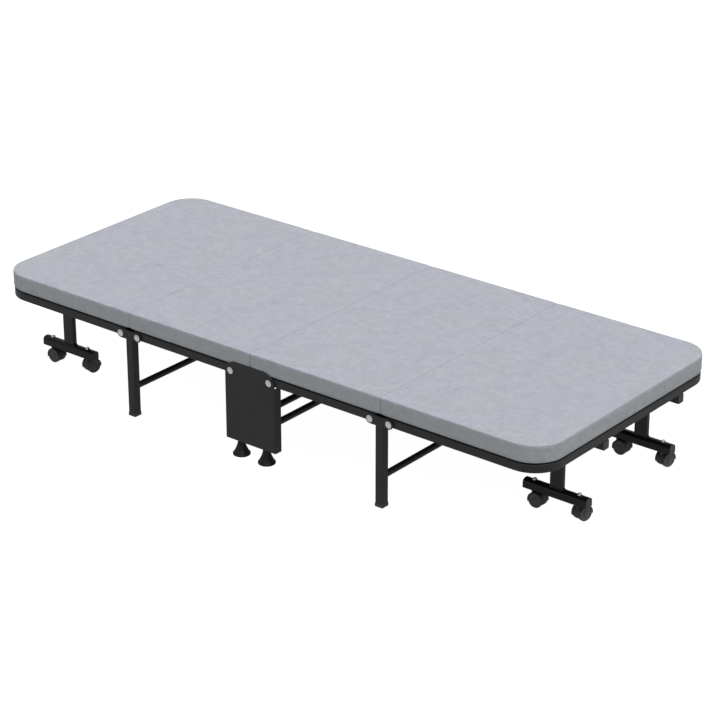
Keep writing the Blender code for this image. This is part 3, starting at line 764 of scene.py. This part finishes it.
def settle(mesh, shape, seed):
    """Lets the loose cover wrinkle over the foam by cloth simulation, then keeps the wrinkles
    as low as a fitted cover shows."""
    rest = np.array(shape.points)
    obj = bpy.data.objects.new("settling_cover", mesh)
    bpy.context.scene.collection.objects.link(obj)
    hold = obj.vertex_groups.new(name="hold")
    for index, point in enumerate(shape.points):
        hold.add([index], 1.0 - 0.78 * shape.looseness(point), "REPLACE")
    uneven = rest + np.random.default_rng(seed).normal(0, 0.0002, rest.shape)
    mesh.vertices.foreach_set("co", uneven.astype(np.float32).ravel())
    cloth = obj.modifiers.new("cloth", "CLOTH")
    settings = cloth.settings
    settings.quality = 5
    settings.mass = 0.3
    settings.tension_stiffness = 15
    settings.compression_stiffness = 15
    settings.shear_stiffness = 8
    settings.bending_stiffness = 1.6
    settings.use_pressure = True
    settings.uniform_pressure_force = 0.6
    settings.vertex_group_mass = "hold"
    settings.shrink_min = -0.022
    settings.shrink_max = -0.022
    settings.effector_weights.gravity = 0
    cloth.collision_settings.use_collision = False
    for number in range(1, 21):
        bpy.context.scene.frame_set(number)
    graph = bpy.context.evaluated_depsgraph_get()
    result = np.empty(len(rest) * 3, np.float32)
    obj.evaluated_get(graph).to_mesh().vertices.foreach_get("co", result)
    moves = result.reshape(-1, 3) - rest
    loose = np.array([shape.looseness(point) for point in shape.points])
    moves = WRINKLE_LIMIT * np.tanh(WRINKLE_SHARE * moves / WRINKLE_LIMIT) * loose[:, None]
    top = rest[:, 2] > shape.top - 1e-5
    moves[top, 2] -= max(0.0, moves[top, 2].max())
    mesh.vertices.foreach_set("co", (rest + moves).astype(np.float32).ravel())
    mesh.update()
    bpy.data.objects.remove(obj)
    bpy.context.scene.frame_set(1)


def welt(mesh, line):
    """A slim sewn ridge along a line of the pad's points."""
    path = [mesh.vertices[index].co.copy() for index in line]
    return swept(path, circle(WELT_RADIUS, 8), Z)


def pad(half, part, seed):
    """A foam slab in a fitted cover, with sewn ridges along its rims."""
    node, body = f"{half}_{part}_pad", f"{half}_{part}"
    low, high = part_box(node)
    start = min(abs(low.x), abs(high.x)) - PAD_SEAM_REACH
    end = max(abs(low.x), abs(high.x))
    if part == "outer":
        shape = PadShape(end - start, high.y, low.z, high.z, PAD_END_CORNER, True)
    else:
        end += PAD_SEAM_REACH
        shape = PadShape(end - start, high.y, low.z, high.z, PAD_SEAM_CORNER, False)
    mesh = mesh_from(shape.points, shape.faces)
    settle(mesh, shape, seed)
    place = HALVES[half] @ Matrix.Translation((start, 0, 0))
    ridges = joined(*[welt(mesh, line) for line in shape.welts])
    made = piece(node + "_cover", mesh, FABRIC, body, [node], place, False)
    smooth = made.modifiers.new("smooth", "SUBSURF")
    smooth.levels = smooth.render_levels = 1
    piece(node + "_welts", ridges, WELT, body, (), place, False)


def board(half, part):
    """The thin panel between a pad and its rails, near black: its own dark coat, and partly
    painted shade for the dark band under the pad's rim.
    """
    node, body = f"{half}_{part}_board", f"{half}_{part}"
    low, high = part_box(node)
    start, end = min(abs(low.x), abs(high.x)), max(abs(low.x), abs(high.x))
    radius = PAD_END_CORNER - 0.011 if part == "outer" else 0.003
    outline = [(start, -high.y)]
    outline += arc((end - radius, radius - high.y), radius, -90, 0, 14)
    outline += arc((end - radius, high.y - radius), radius, 0, 90, 14)
    outline.append((start, high.y))
    mesh = lifted(plate(outline, high.z - low.z, 0.0007), low.z)
    piece(node + "_panel", mesh, BOARD_AND_SHADE, body, [node], HALVES[half])


# Frame tubes


def cross_tube(x, z, reach):
    tube = square_tube([(x, -reach, z), (x, reach, z)], CROSS_TUBE, CROSS_TUBE)
    outline = rounded_rectangle(CROSS_TUBE, CROSS_TUBE, TUBE_CORNER, 2)
    seat = reach - WELD_SINK
    beads = [bead(outline, along(Y * side, (x, side * seat, z))) for side in (-1, 1)]
    return [tube], beads


def inner_frame():
    line_y = RAIL_FACE - RAIL_WIDTH / 2
    tubes, beads = [], []
    for side in (-1, 1):
        line = [(x, side * line_y, RAIL_Z) for x in (RAIL_LOW.x, RAIL_HIGH.x)]
        rail = square_tube(line, RAIL_WIDTH, RAIL_DEPTH)
        holes = [((joint.x, side * line_y, joint.z), Y) for joint in (CENTRE_PIVOT, INNER_PIVOT)]
        tubes.append(drilled(rail, *holes))
    for x in INNER_CROSS_TUBES:
        more, welds = cross_tube(x, CROSS_TUBE_Z, RAIL_FACE - RAIL_WIDTH + WELD_SINK)
        tubes += more
        beads += welds
    both_halves("{}_inner_ladder", joined(*tubes), COATED, "{}_inner", ["{}_inner_frame"])
    both_halves("{}_inner_welds", joined(*beads), WELDED, "{}_inner")


def end_frame():
    line_y = RAIL_FACE - RAIL_WIDTH / 2
    line_x = END_HIGH.x - RAIL_WIDTH / 2
    path = [(END_LOW.x, -line_y)]
    path += arc((line_x - CORNER_RADIUS, CORNER_RADIUS - line_y), CORNER_RADIUS, -90, 0, 18)
    path += arc((line_x - CORNER_RADIUS, line_y - CORNER_RADIUS), CORNER_RADIUS, 0, 90, 18)
    path.append((END_LOW.x, line_y))
    rail = square_tube([(x, y, RAIL_Z) for x, y in path], RAIL_WIDTH, RAIL_DEPTH)
    holes = [((OUTER_PIVOT.x, side * line_y, OUTER_PIVOT.z), Y) for side in (-1, 1)]
    both_halves("{}_bent_rail", drilled(rail, *holes), COATED, "{}_outer", ["{}_end_rail"])


def carrier_frame():
    """The cross tube and two beams, with plugs in the open ends of the beams."""
    cross_x = CARRIER_LOW.x + CROSS_TUBE / 2
    cross_z = CARRIER_HIGH.z - CROSS_TUBE / 2
    beam_z = CARRIER_LOW.z + BEAM_SIZE / 2
    tubes, beads = cross_tube(cross_x, cross_z, CARRIER_HIGH.y)
    plugs = []
    for word, side in SIDES.items():
        joint = pivot(f"foot_{word}_stand_pivot")
        stand_low, stand_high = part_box(f"foot_{word}_stand")
        shift = BEAM_SIZE / 2 + POST_GAP + POST_THICKNESS / 2
        beam_y = (stand_low.y + stand_high.y) / 2 - side * shift
        start = Vector((CARRIER_LOW.x + PLUG_HEAD, beam_y, beam_z))
        end = Vector((CARRIER_HIGH.x - PLUG_HEAD, beam_y, beam_z))
        beam = square_tube((start, end), BEAM_SIZE, BEAM_SIZE)
        tubes.append(drilled(beam, ((joint.x, beam_y, joint.z), Y)))
        for place, way in ((start, -X), (end, X)):
            outline = rounded_rectangle(BEAM_SIZE, BEAM_SIZE, TUBE_CORNER)
            head = plate(outline, PLUG_HEAD, 0.0006)
            inside = BEAM_SIZE - 2 * WALL - 0.0004
            stem = plate(rounded_rectangle(inside, inside, 0.0012), PLUG_STEM, 0.0004)
            stem = lifted(stem, -PLUG_STEM - 0.0002)
            plugs.append(moved(joined(head, stem), along(way, place)))
        reach = Vector((0, BEAM_SIZE / 2 - 0.002, 0))
        for x in (cross_x - CROSS_TUBE / 2, cross_x + CROSS_TUBE / 2):
            middle = Vector((x, beam_y, beam_z + BEAM_SIZE / 2 + WELD_SINK))
            beads.append(straight_bead(middle - reach, middle + reach, 14, 0.0015, Z))
    both_halves("{}_carrier_tubes", joined(*tubes), COATED, "{}_outer", ["{}_carrier"])
    both_halves("{}_carrier_welds", joined(*beads), WELDED, "{}_outer")
    both_halves("{}_carrier_plugs", joined(*plugs), PLASTIC, "{}_outer")


def leg_frames():
    """Square legs with moulded feet, eared brackets and a crossbar."""
    leg_y = LEG_HIGH.y - LEG_CAP_LIP - LEG_SIZE / 2
    top = LEG_HIGH.z - 0.0005
    tubes, beads, caps = [], [], []
    for side in (-1, 1):
        line = [(LEG_X, side * leg_y, z) for z in (LEG_FOOT, top)]
        leg = square_tube(line, LEG_SIZE, LEG_SIZE, Y)
        ear_reach = OUTER_PIVOT.x - LEG_X
        ears = rounded_rectangle(2 * (ear_reach + EAR_RADIUS), 2 * EAR_RADIUS, EAR_RADIUS, 12)
        ear_face = side * (leg_y + LEG_SIZE / 2 + EAR_STEP)
        back = ear_face + (EAR_THICKNESS if side < 0 else 0)
        shift = Matrix.Translation((LEG_X, back, OUTER_PIVOT.z))
        bracket = moved(plate(ears, EAR_THICKNESS, 0.0006), shift @ LAID)
        holes = [((joint.x, ear_face, joint.z), Y) for joint in (INNER_PIVOT, OUTER_PIVOT)]
        tubes += [leg, drilled(bracket, *holes)]
        for edge in (-1, 1):
            x = LEG_X + edge * (LEG_SIZE / 2 + 0.0002)
            y = ear_face - side * EAR_THICKNESS
            low = Vector((x, y, OUTER_PIVOT.z - EAR_RADIUS + 0.001))
            high = Vector((x, y, OUTER_PIVOT.z + EAR_RADIUS - 0.002))
            beads.append(straight_bead(low, high, 12, 0.0014, Y))
        reach = LEG_SIZE / 2 + LEG_CAP_LIP
        centre = Vector((LEG_X, side * leg_y, 0))
        low = centre - Vector((reach, reach, 0))
        caps.append(block(low, centre + Vector((reach, reach, LEG_CAP_HEIGHT)), 0.0014, 3))
    reach = leg_y - LEG_SIZE / 2 + WELD_SINK
    tubes.append(round_tube((LEG_X, -reach, LEG_BAR_Z), (LEG_X, reach, LEG_BAR_Z), LEG_BAR_RADIUS))
    seat = reach - WELD_SINK
    for side in (-1, 1):
        place = along(Y * side, (LEG_X, side * seat, LEG_BAR_Z))
        beads.append(bead(circle(LEG_BAR_RADIUS), place))
    both_halves("{}_legs", joined(*tubes), COATED, "{}_leg", ["{}_leg_frame"])
    both_halves("{}_leg_welds", joined(*beads), WELDED, "{}_leg")
    both_halves("{}_leg_caps", joined(*caps), PLASTIC, "{}_leg")


# Centre stand


def centre_plate(word, side):
    """A folded channel with a round-cornered face above its flanges."""
    node = f"centre_plate_{word}"
    low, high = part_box(node)
    half = (high.x - low.x) / 2
    depth = high.y - low.y
    outline = [(-half, low.z), (half, low.z)]
    outline += arc((half - PLATE_CORNER, high.z - PLATE_CORNER), PLATE_CORNER, 0, 90, 14)
    outline += arc((PLATE_CORNER - half, high.z - PLATE_CORNER), PLATE_CORNER, 90, 180, 14)
    sheet = plate(outline, depth, SHEET_BEND, 4)
    sheet = moved(sheet, Matrix.Translation((0, high.y, 0)) @ LAID)
    inside = (high.y - SHEET) if side > 0 else (low.y + SHEET)
    beyond = (low.y - 0.02) if side > 0 else (high.y + 0.02)
    y_low, y_high = sorted((inside, beyond))
    pocket = block(
        (SHEET - half, y_low, low.z + SHEET), (half - SHEET, y_high, high.z + 0.02), 0.0012
    )
    above = block((-2 * half, y_low, FLANGE_TOP), (2 * half, y_high, high.z + 0.03), 0)
    sheet = combined(sheet, "DIFFERENCE", pocket, above)
    face_y = side * PLATE_FACE
    holes = [((end * CENTRE_PIVOT.x, face_y, CENTRE_PIVOT.z), Y) for end in (-1, 1)]
    for end in ("head", "foot"):
        foot_low, foot_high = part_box(f"cone_foot_{end}_{word}")
        centre = (foot_low + foot_high) / 2
        holes.append(((centre.x, centre.y, low.z), Z))
    piece(node + "_sheet", drilled(sheet, *holes), COATED, "centre_stand", [node])


def centre_crossbars():
    for half in HALVES:
        node = f"centre_crossbar_{half}"
        low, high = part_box(node)
        centre = (low + high) / 2
        start, end = Vector((centre.x, low.y, centre.z)), Vector((centre.x, high.y, centre.z))
        tube = round_tube(start, end, CENTRE_BAR_RADIUS)
        piece(node + "_tube", tube, COATED, "centre_stand", [node])
        ring, reach = circle(CENTRE_BAR_RADIUS), high.y - 0.0012
        places = [along(Y * side, (centre.x, side * reach, centre.z)) for side in (-1, 1)]
        welds = joined(*[bead(ring, place) for place in places])
        piece(node + "_welds", welds, WELDED, "centre_stand")


def cone_feet():
    """Flared moulded feet on threaded studs, and the zinc nuts that hold them."""
    low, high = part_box("cone_foot_foot_far")
    seat = PLATE_LOW.z
    base = (high.x - low.x) / 2
    neck, edge = CONE_NECK, seat - 0.0015
    profile = [(0, seat - GAP), (neck - 0.0012, seat - GAP), (neck, edge)]
    for k in range(1, 13):
        share = k / 12
        radius = neck + (base - CONE_EDGE - neck) * share**CONE_SWELL
        profile.append((radius, edge + (CONE_SHOULDER - edge) * share))
    profile += arc((base - CONE_EDGE, CONE_SHOULDER - CONE_EDGE), CONE_EDGE, 80, -10, 5)
    profile += arc((base - CONE_RIM, CONE_RIM), CONE_RIM, 0, -90, 4)
    profile += [(0.004, 0.0), (0, 0.0)]
    foot = turned(profile)
    stud = [(0, high.z), (0.0030, high.z), (STUD_RADIUS, high.z - 0.0007)]
    for k in range(STUD_THREADS):
        z = high.z - 0.0012 - k * STUD_PITCH
        stud += [(STUD_RADIUS, z), (STUD_ROOT, z - STUD_PITCH / 2)]
    stud += [(STUD_RADIUS, seat - GAP), (0, seat - GAP)]
    nut_low = seat + SHEET + GAP
    nut = hexagon(STUD_NUT_RADIUS, nut_low, nut_low + STUD_NUT_HEIGHT)
    fixing = joined(turned(stud, ROD_SEGMENTS), nut)
    for half in HALVES:
        for word in SIDES:
            node = f"cone_foot_{half}_{word}"
            low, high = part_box(node)
            place = Matrix.Translation(((low.x + high.x) / 2, (low.y + high.y) / 2, 0))
            piece(node + "_cone", foot, RUBBER, "centre_stand", [node], place)
            piece(node + "_stud", fixing, ZINC, "centre_stand", (), place)


# Bolts


def bolt_meshes(grip, thickness, space):
    """A domed bolt with its nut, and its spacing collar, along +Z with the head's seat at
    Z = 0. The collar fills the space beyond the outer member."""
    height = HEAD_HEIGHT - HEAD_RIM
    bulge = (HEAD_RADIUS**2 + height**2) / (2 * height)
    spread = math.degrees(math.asin(HEAD_RADIUS / bulge))
    end = -grip - BOLT_END
    profile = [(0, HEAD_HEIGHT)] + arc((0, HEAD_HEIGHT - bulge), bulge, 90, 90 - spread, 10)[1:]
    profile += [(HEAD_RADIUS, 2 * GAP), (HEAD_RADIUS - GAP, GAP), (BOLT_RADIUS, GAP)]
    profile += [(BOLT_RADIUS, end + 0.0007), (BOLT_RADIUS - 0.0006, end), (0, end)]
    nut = hexagon(BOLT_NUT_RADIUS, -grip - BOLT_NUT_END, -grip - GAP)
    top, low, bore = -thickness - GAP, -thickness - space + GAP, BOLT_RADIUS + 0.0001
    ring = [(bore, top), (COLLAR_RADIUS, top), (COLLAR_RADIUS, low), (bore, low), (bore, top)]
    return joined(turned(profile, 32), nut), turned(ring, 32)


def bolt(node, meshes, body, place, outward):
    """The collar is a black spacer, so it stays its own piece."""
    turned_mesh, collar = meshes
    matrix = along(outward, place)
    piece(node + "_turned", turned_mesh, ZINC, body, [node], matrix)
    piece(node + "_collar", collar, PLASTIC, body, (), matrix)


def bolts():
    space = PLATE_FACE - RAIL_FACE
    plain = bolt_meshes(space + RAIL_WIDTH, SHEET, space - SHEET)
    stepped = space + EAR_STEP
    eared = bolt_meshes(stepped + RAIL_WIDTH, EAR_THICKNESS, stepped - EAR_THICKNESS)
    for half in HALVES:
        for word, side in SIDES.items():
            place = pivot(f"{half}_fold")
            place.y = side * PLATE_FACE
            bolt(f"centre_bolt_{half}_{word}", plain, "centre_stand", place, Y * side)
            for where, joint in (("inner", f"{half}_leg_pivot"), ("outer", f"{half}_outer_pivot")):
                place = pivot(joint)
                place.y = side * (PLATE_FACE + EAR_STEP)
                bolt(f"{half}_leg_bolt_{where}_{word}", eared, f"{half}_leg", place, Y * side)


# Caster stands


def stand_meshes():
    """The post and bar, their weld and the bar's end plugs, with the post's foot at the origin."""
    width, height = BAR_HIGH.y - BAR_LOW.y, BAR_TOP - BAR_LOW.z
    middle = (BAR_LOW.z + BAR_TOP) / 2
    half = (BAR_HIGH.x - BAR_LOW.x) / 2 - BAR_PLUG_HEAD
    line = ((-half, 0, middle), (half, 0, middle))
    bar = square_tube(line, width, height, Z, BAR_CORNER, BAR_TOP_CORNER)
    bar = drilled(bar, ((-CASTER_REACH, 0, middle), Z), ((CASTER_REACH, 0, middle), Z))
    line = ((0, 0, BAR_TOP - 0.0008), (0, 0, BAR_HIGH.z - 0.0012))
    post = square_tube(line, POST_WIDTH, POST_THICKNESS, Y, POST_CORNER)
    rim = rounded_rectangle(POST_WIDTH, POST_THICKNESS, POST_CORNER, 3)
    weld = bead(rim, Matrix.Translation((0, 0, BAR_TOP)), 0.0017)
    outline = rounded_rectangle(width, height, BAR_CORNER, 6, BAR_TOP_CORNER)
    head = plate(outline, BAR_PLUG_HEAD, 0.0012, 3)
    inset = WALL + 0.0002
    inner = rounded_rectangle(
        width - 2 * inset, height - 2 * inset, BAR_CORNER - inset, 6, BAR_TOP_CORNER - inset
    )
    stem = plate(inner, BAR_PLUG_STEM, 0.0004)
    plug = joined(head, lifted(stem, -BAR_PLUG_STEM - 0.0002))
    upright = Matrix(((0, 0, 1, 0), (1, 0, 0, 0), (0, 1, 0, 0), (0, 0, 0, 1)))
    right = Matrix.Translation((half, 0, middle)) @ upright
    left = HALVES["head"] @ right
    cap_outline = rounded_rectangle(POST_WIDTH, POST_THICKNESS, POST_CORNER, 5)
    cap_height = 0.0014
    cap = lifted(plate(cap_outline, cap_height, 0.0005), BAR_HIGH.z - cap_height)
    return bar, post, weld, joined(moved(plug, right), moved(plug, left), cap)


def caster_stands():
    bar, post, weld, plugs = stand_meshes()
    fixing = bolt_meshes(POST_THICKNESS + POST_GAP + BEAM_SIZE, POST_THICKNESS, POST_GAP)
    for half in HALVES:
        for word, side in SIDES.items():
            label = f"{half}_{word}"
            body = f"{label}_stand"
            joint = pivot(f"{label}_stand_pivot")
            low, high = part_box(body)
            centre = (low + high) / 2
            place = Matrix.Translation((centre.x, centre.y, 0))
            bolt_place = Vector((joint.x, centre.y + side * POST_THICKNESS / 2, joint.z))
            hole = (bolt_place - Vector((centre.x, centre.y, 0)), Y)
            drilled_post = drilled(post, hole)
            piece(body + "_post", drilled_post, COATED, body, [body], place)
            piece(body + "_bar", bar, GLOSSY, body, (), place)
            piece(body + "_weld", weld, WELDED, body, (), place)
            piece(body + "_plugs", plugs, PLASTIC, body, (), place)
            bolt(body + "_bolt", fixing, body, bolt_place, Y * side)


# Casters


def hood_outline():
    """A band round the wheels from one angle to the other, with round ends."""
    outer, inner = HOOD_RADIUS, HOOD_CLEARANCE
    low_angle, high_angle = HOOD_ANGLES
    middle, half = (outer + inner) / 2, (outer - inner) / 2

    def end(angle, start):
        turn = math.radians(angle)
        centre = (middle * math.cos(turn), middle * math.sin(turn))
        return arc(centre, half, start, start + 180, 5)[1:-1]

    points = arc((0, 0), outer, low_angle, high_angle, 44) + end(high_angle, high_angle)
    return points + arc((0, 0), inner, high_angle, low_angle, 44) + end(low_angle, low_angle + 180)


def caster_meshes():
    """The hood with its web and socket, the wheels, and the stem with its nut. The wheels'
    middle is the origin, the axle lies along Y, and the wheels trail the stem towards +X."""
    band = lifted(plate(hood_outline(), 2 * HOOD_HALF_WIDTH, 0.0005), -HOOD_HALF_WIDTH)
    rim = [(WEB_RADIUS, WEB_HALF_WIDTH), (WEB_RADIUS, -WEB_HALF_WIDTH)]
    web = turned([(0, WEB_HALF_WIDTH), *rim, (0, -WEB_HALF_WIDTH)], 48)
    below = block((-0.05, -0.05, -0.06), (0.05, 0.05, -0.004), 0)
    below = moved(below, Matrix.Rotation(math.radians(WEB_TILT), 4, "Y"))
    web = combined(moved(web, LAID), "DIFFERENCE", below)
    socket_top = SOCKET_TOP - WHEEL_RADIUS
    socket = [(0, 0.006), (SOCKET_RADIUS, 0.006), (SOCKET_RADIUS, socket_top - 0.0034)]
    socket += [(0.0078, socket_top - 0.0030), (0.0078, socket_top - 0.0022)]
    socket += [(0.0083, socket_top - 0.0018), (0.0083, socket_top - 0.0006)]
    socket += [(0.0077, socket_top), (0, socket_top)]
    socket = moved(turned(socket, 32), Matrix.Translation((-CASTER_TRAIL, 0, 0)))
    clearance = rod((0, 0, 0), Y, HOOD_CLEARANCE, 4 * HOOD_HALF_WIDTH)
    socket = combined(socket, "DIFFERENCE", clearance)
    one = turned(disc_profile(WHEEL_INNER, WHEEL_FACE), 48)
    wheels = joined(
        moved(one, LAID), moved(one, HALVES["head"] @ LAID),
        rod((0, 0, 0), Y, AXLE_RADIUS, 2 * WHEEL_INNER + 0.001),
    )
    top, foot = STEM_TOP - WHEEL_RADIUS, socket_top + 0.0002
    nut_low = BAR_TOP - WHEEL_RADIUS + GAP
    stem = [(0, top), (0.0033, top), (STEM_RADIUS, top - 0.0008), (STEM_RADIUS, foot), (0, foot)]
    nut = hexagon(STEM_NUT_RADIUS, nut_low, nut_low + STEM_NUT_HEIGHT)
    fixing = joined(turned(stem, ROD_SEGMENTS), nut)
    fixing = moved(fixing, Matrix.Translation((-CASTER_TRAIL, 0, 0)))
    return joined(moved(band, LAID), web, socket), wheels, fixing


def disc_profile(inner, face):
    """One wheel's half section from its inner hub to its outer face, as (radius, height)."""
    radius = WHEEL_RADIUS
    profile = [(0, inner), (radius - 0.0030, inner)]
    profile += arc((radius - 0.0016, inner + 0.0016), 0.0016, -90, 0, 4)
    profile += arc((radius - 0.0022, face - 0.0022), 0.0022, 0, 90, 5)
    profile += [(0.0170, face), (0.0162, face - 0.0010), (0.0125, face - 0.0016)]
    profile += [(0.0075, face - 0.0016), (0.0068, face - 0.0002), (0.0050, face + 0.0004)]
    profile.append((0, face + 0.0005))
    return profile


def casters():
    housing, wheels, fixing = caster_meshes()
    for half in HALVES:
        for word in SIDES:
            for where in ("inner", "outer"):
                label, black = f"{half}_{word}_caster_{where}", "caster_black"
                centre = pivot(label + "_roll")
                away = centre - pivot(label + "_swivel")
                turn = Matrix.Rotation(math.atan2(away.y, away.x), 4, "Z")
                place = Matrix.Translation(centre) @ turn
                piece(label + "_hood", housing, PLASTIC, label, [label + "_housing"], place)
                piece(label + "_stem", fixing, ZINC, label, (), place)
                wheel = label + "_wheels"
                piece(label + "_discs", wheels, DISC, wheel, [wheel], place)


# Stage


def seen_strength(tree, socket, lighting, seen):
    """One strength for the light that falls on the bed and another for what the camera sees."""
    path = tree.nodes.new("ShaderNodeLightPath")
    strength = tree.nodes.new("ShaderNodeMapRange")
    strength.inputs["To Min"].default_value = lighting
    strength.inputs["To Max"].default_value = seen
    tree.links.new(path.outputs["Is Camera Ray"], strength.inputs["Value"])
    tree.links.new(strength.outputs["Result"], socket)


def stage():
    """A pale floor, soft overhead light and the camera."""
    work = bmesh.new()
    bmesh.ops.create_grid(work, x_segments=1, y_segments=1, size=FLOOR_SIZE)
    floor = bpy.data.objects.new("floor", mesh_of(work))
    bpy.context.scene.collection.objects.link(floor)
    pale = bpy.data.materials.new("pale_floor")
    pale.use_nodes = True
    shader = pale.node_tree.nodes["Principled BSDF"]
    shader.inputs["Base Color"].default_value = FLOOR_GREY
    shader.inputs["Roughness"].default_value = 0.9
    shader.inputs["Emission Color"].default_value = WHITE
    seen_strength(pale.node_tree, shader.inputs["Emission Strength"], 0.30, 0.98)
    floor.data.materials.append(pale)
    lamp = bpy.data.objects.new("overhead", bpy.data.lights.new("overhead", "SUN"))
    lamp.data.energy = SUN_STRENGTH
    lamp.data.angle = math.radians(SUN_ANGLE)
    lamp.rotation_euler = SUN_WAY.to_track_quat("-Z", "Y").to_euler()
    bpy.context.scene.collection.objects.link(lamp)
    world = bpy.data.worlds.new("studio")
    world.use_nodes = True
    background = world.node_tree.nodes["Background"]
    background.inputs["Color"].default_value = WHITE
    seen_strength(world.node_tree, background.inputs["Strength"], 0.42, 1.05)
    bpy.context.scene.world = world
    camera = bpy.data.objects.new("camera", bpy.data.cameras.new("camera"))
    camera.data.lens = CAMERA_LENS
    camera.data.sensor_width = CAMERA_SENSOR
    camera.location = CAMERA_PLACE
    camera.rotation_euler = (math.radians(CAMERA_TILT), 0, math.radians(CAMERA_TURN))
    bpy.context.scene.collection.objects.link(camera)
    bpy.context.scene.camera = camera
    bpy.context.scene.view_settings.view_transform = "Standard"


stage()
for number, half_name in enumerate(HALVES):
    for order, part_name in enumerate(("inner", "outer")):
        pad(half_name, part_name, 11 + 2 * number + order)
        board(half_name, part_name)
inner_frame()
end_frame()
carrier_frame()
leg_frames()
for word_name, side_sign in SIDES.items():
    centre_plate(word_name, side_sign)
centre_crossbars()
cone_feet()
bolts()
caster_stands()
casters()
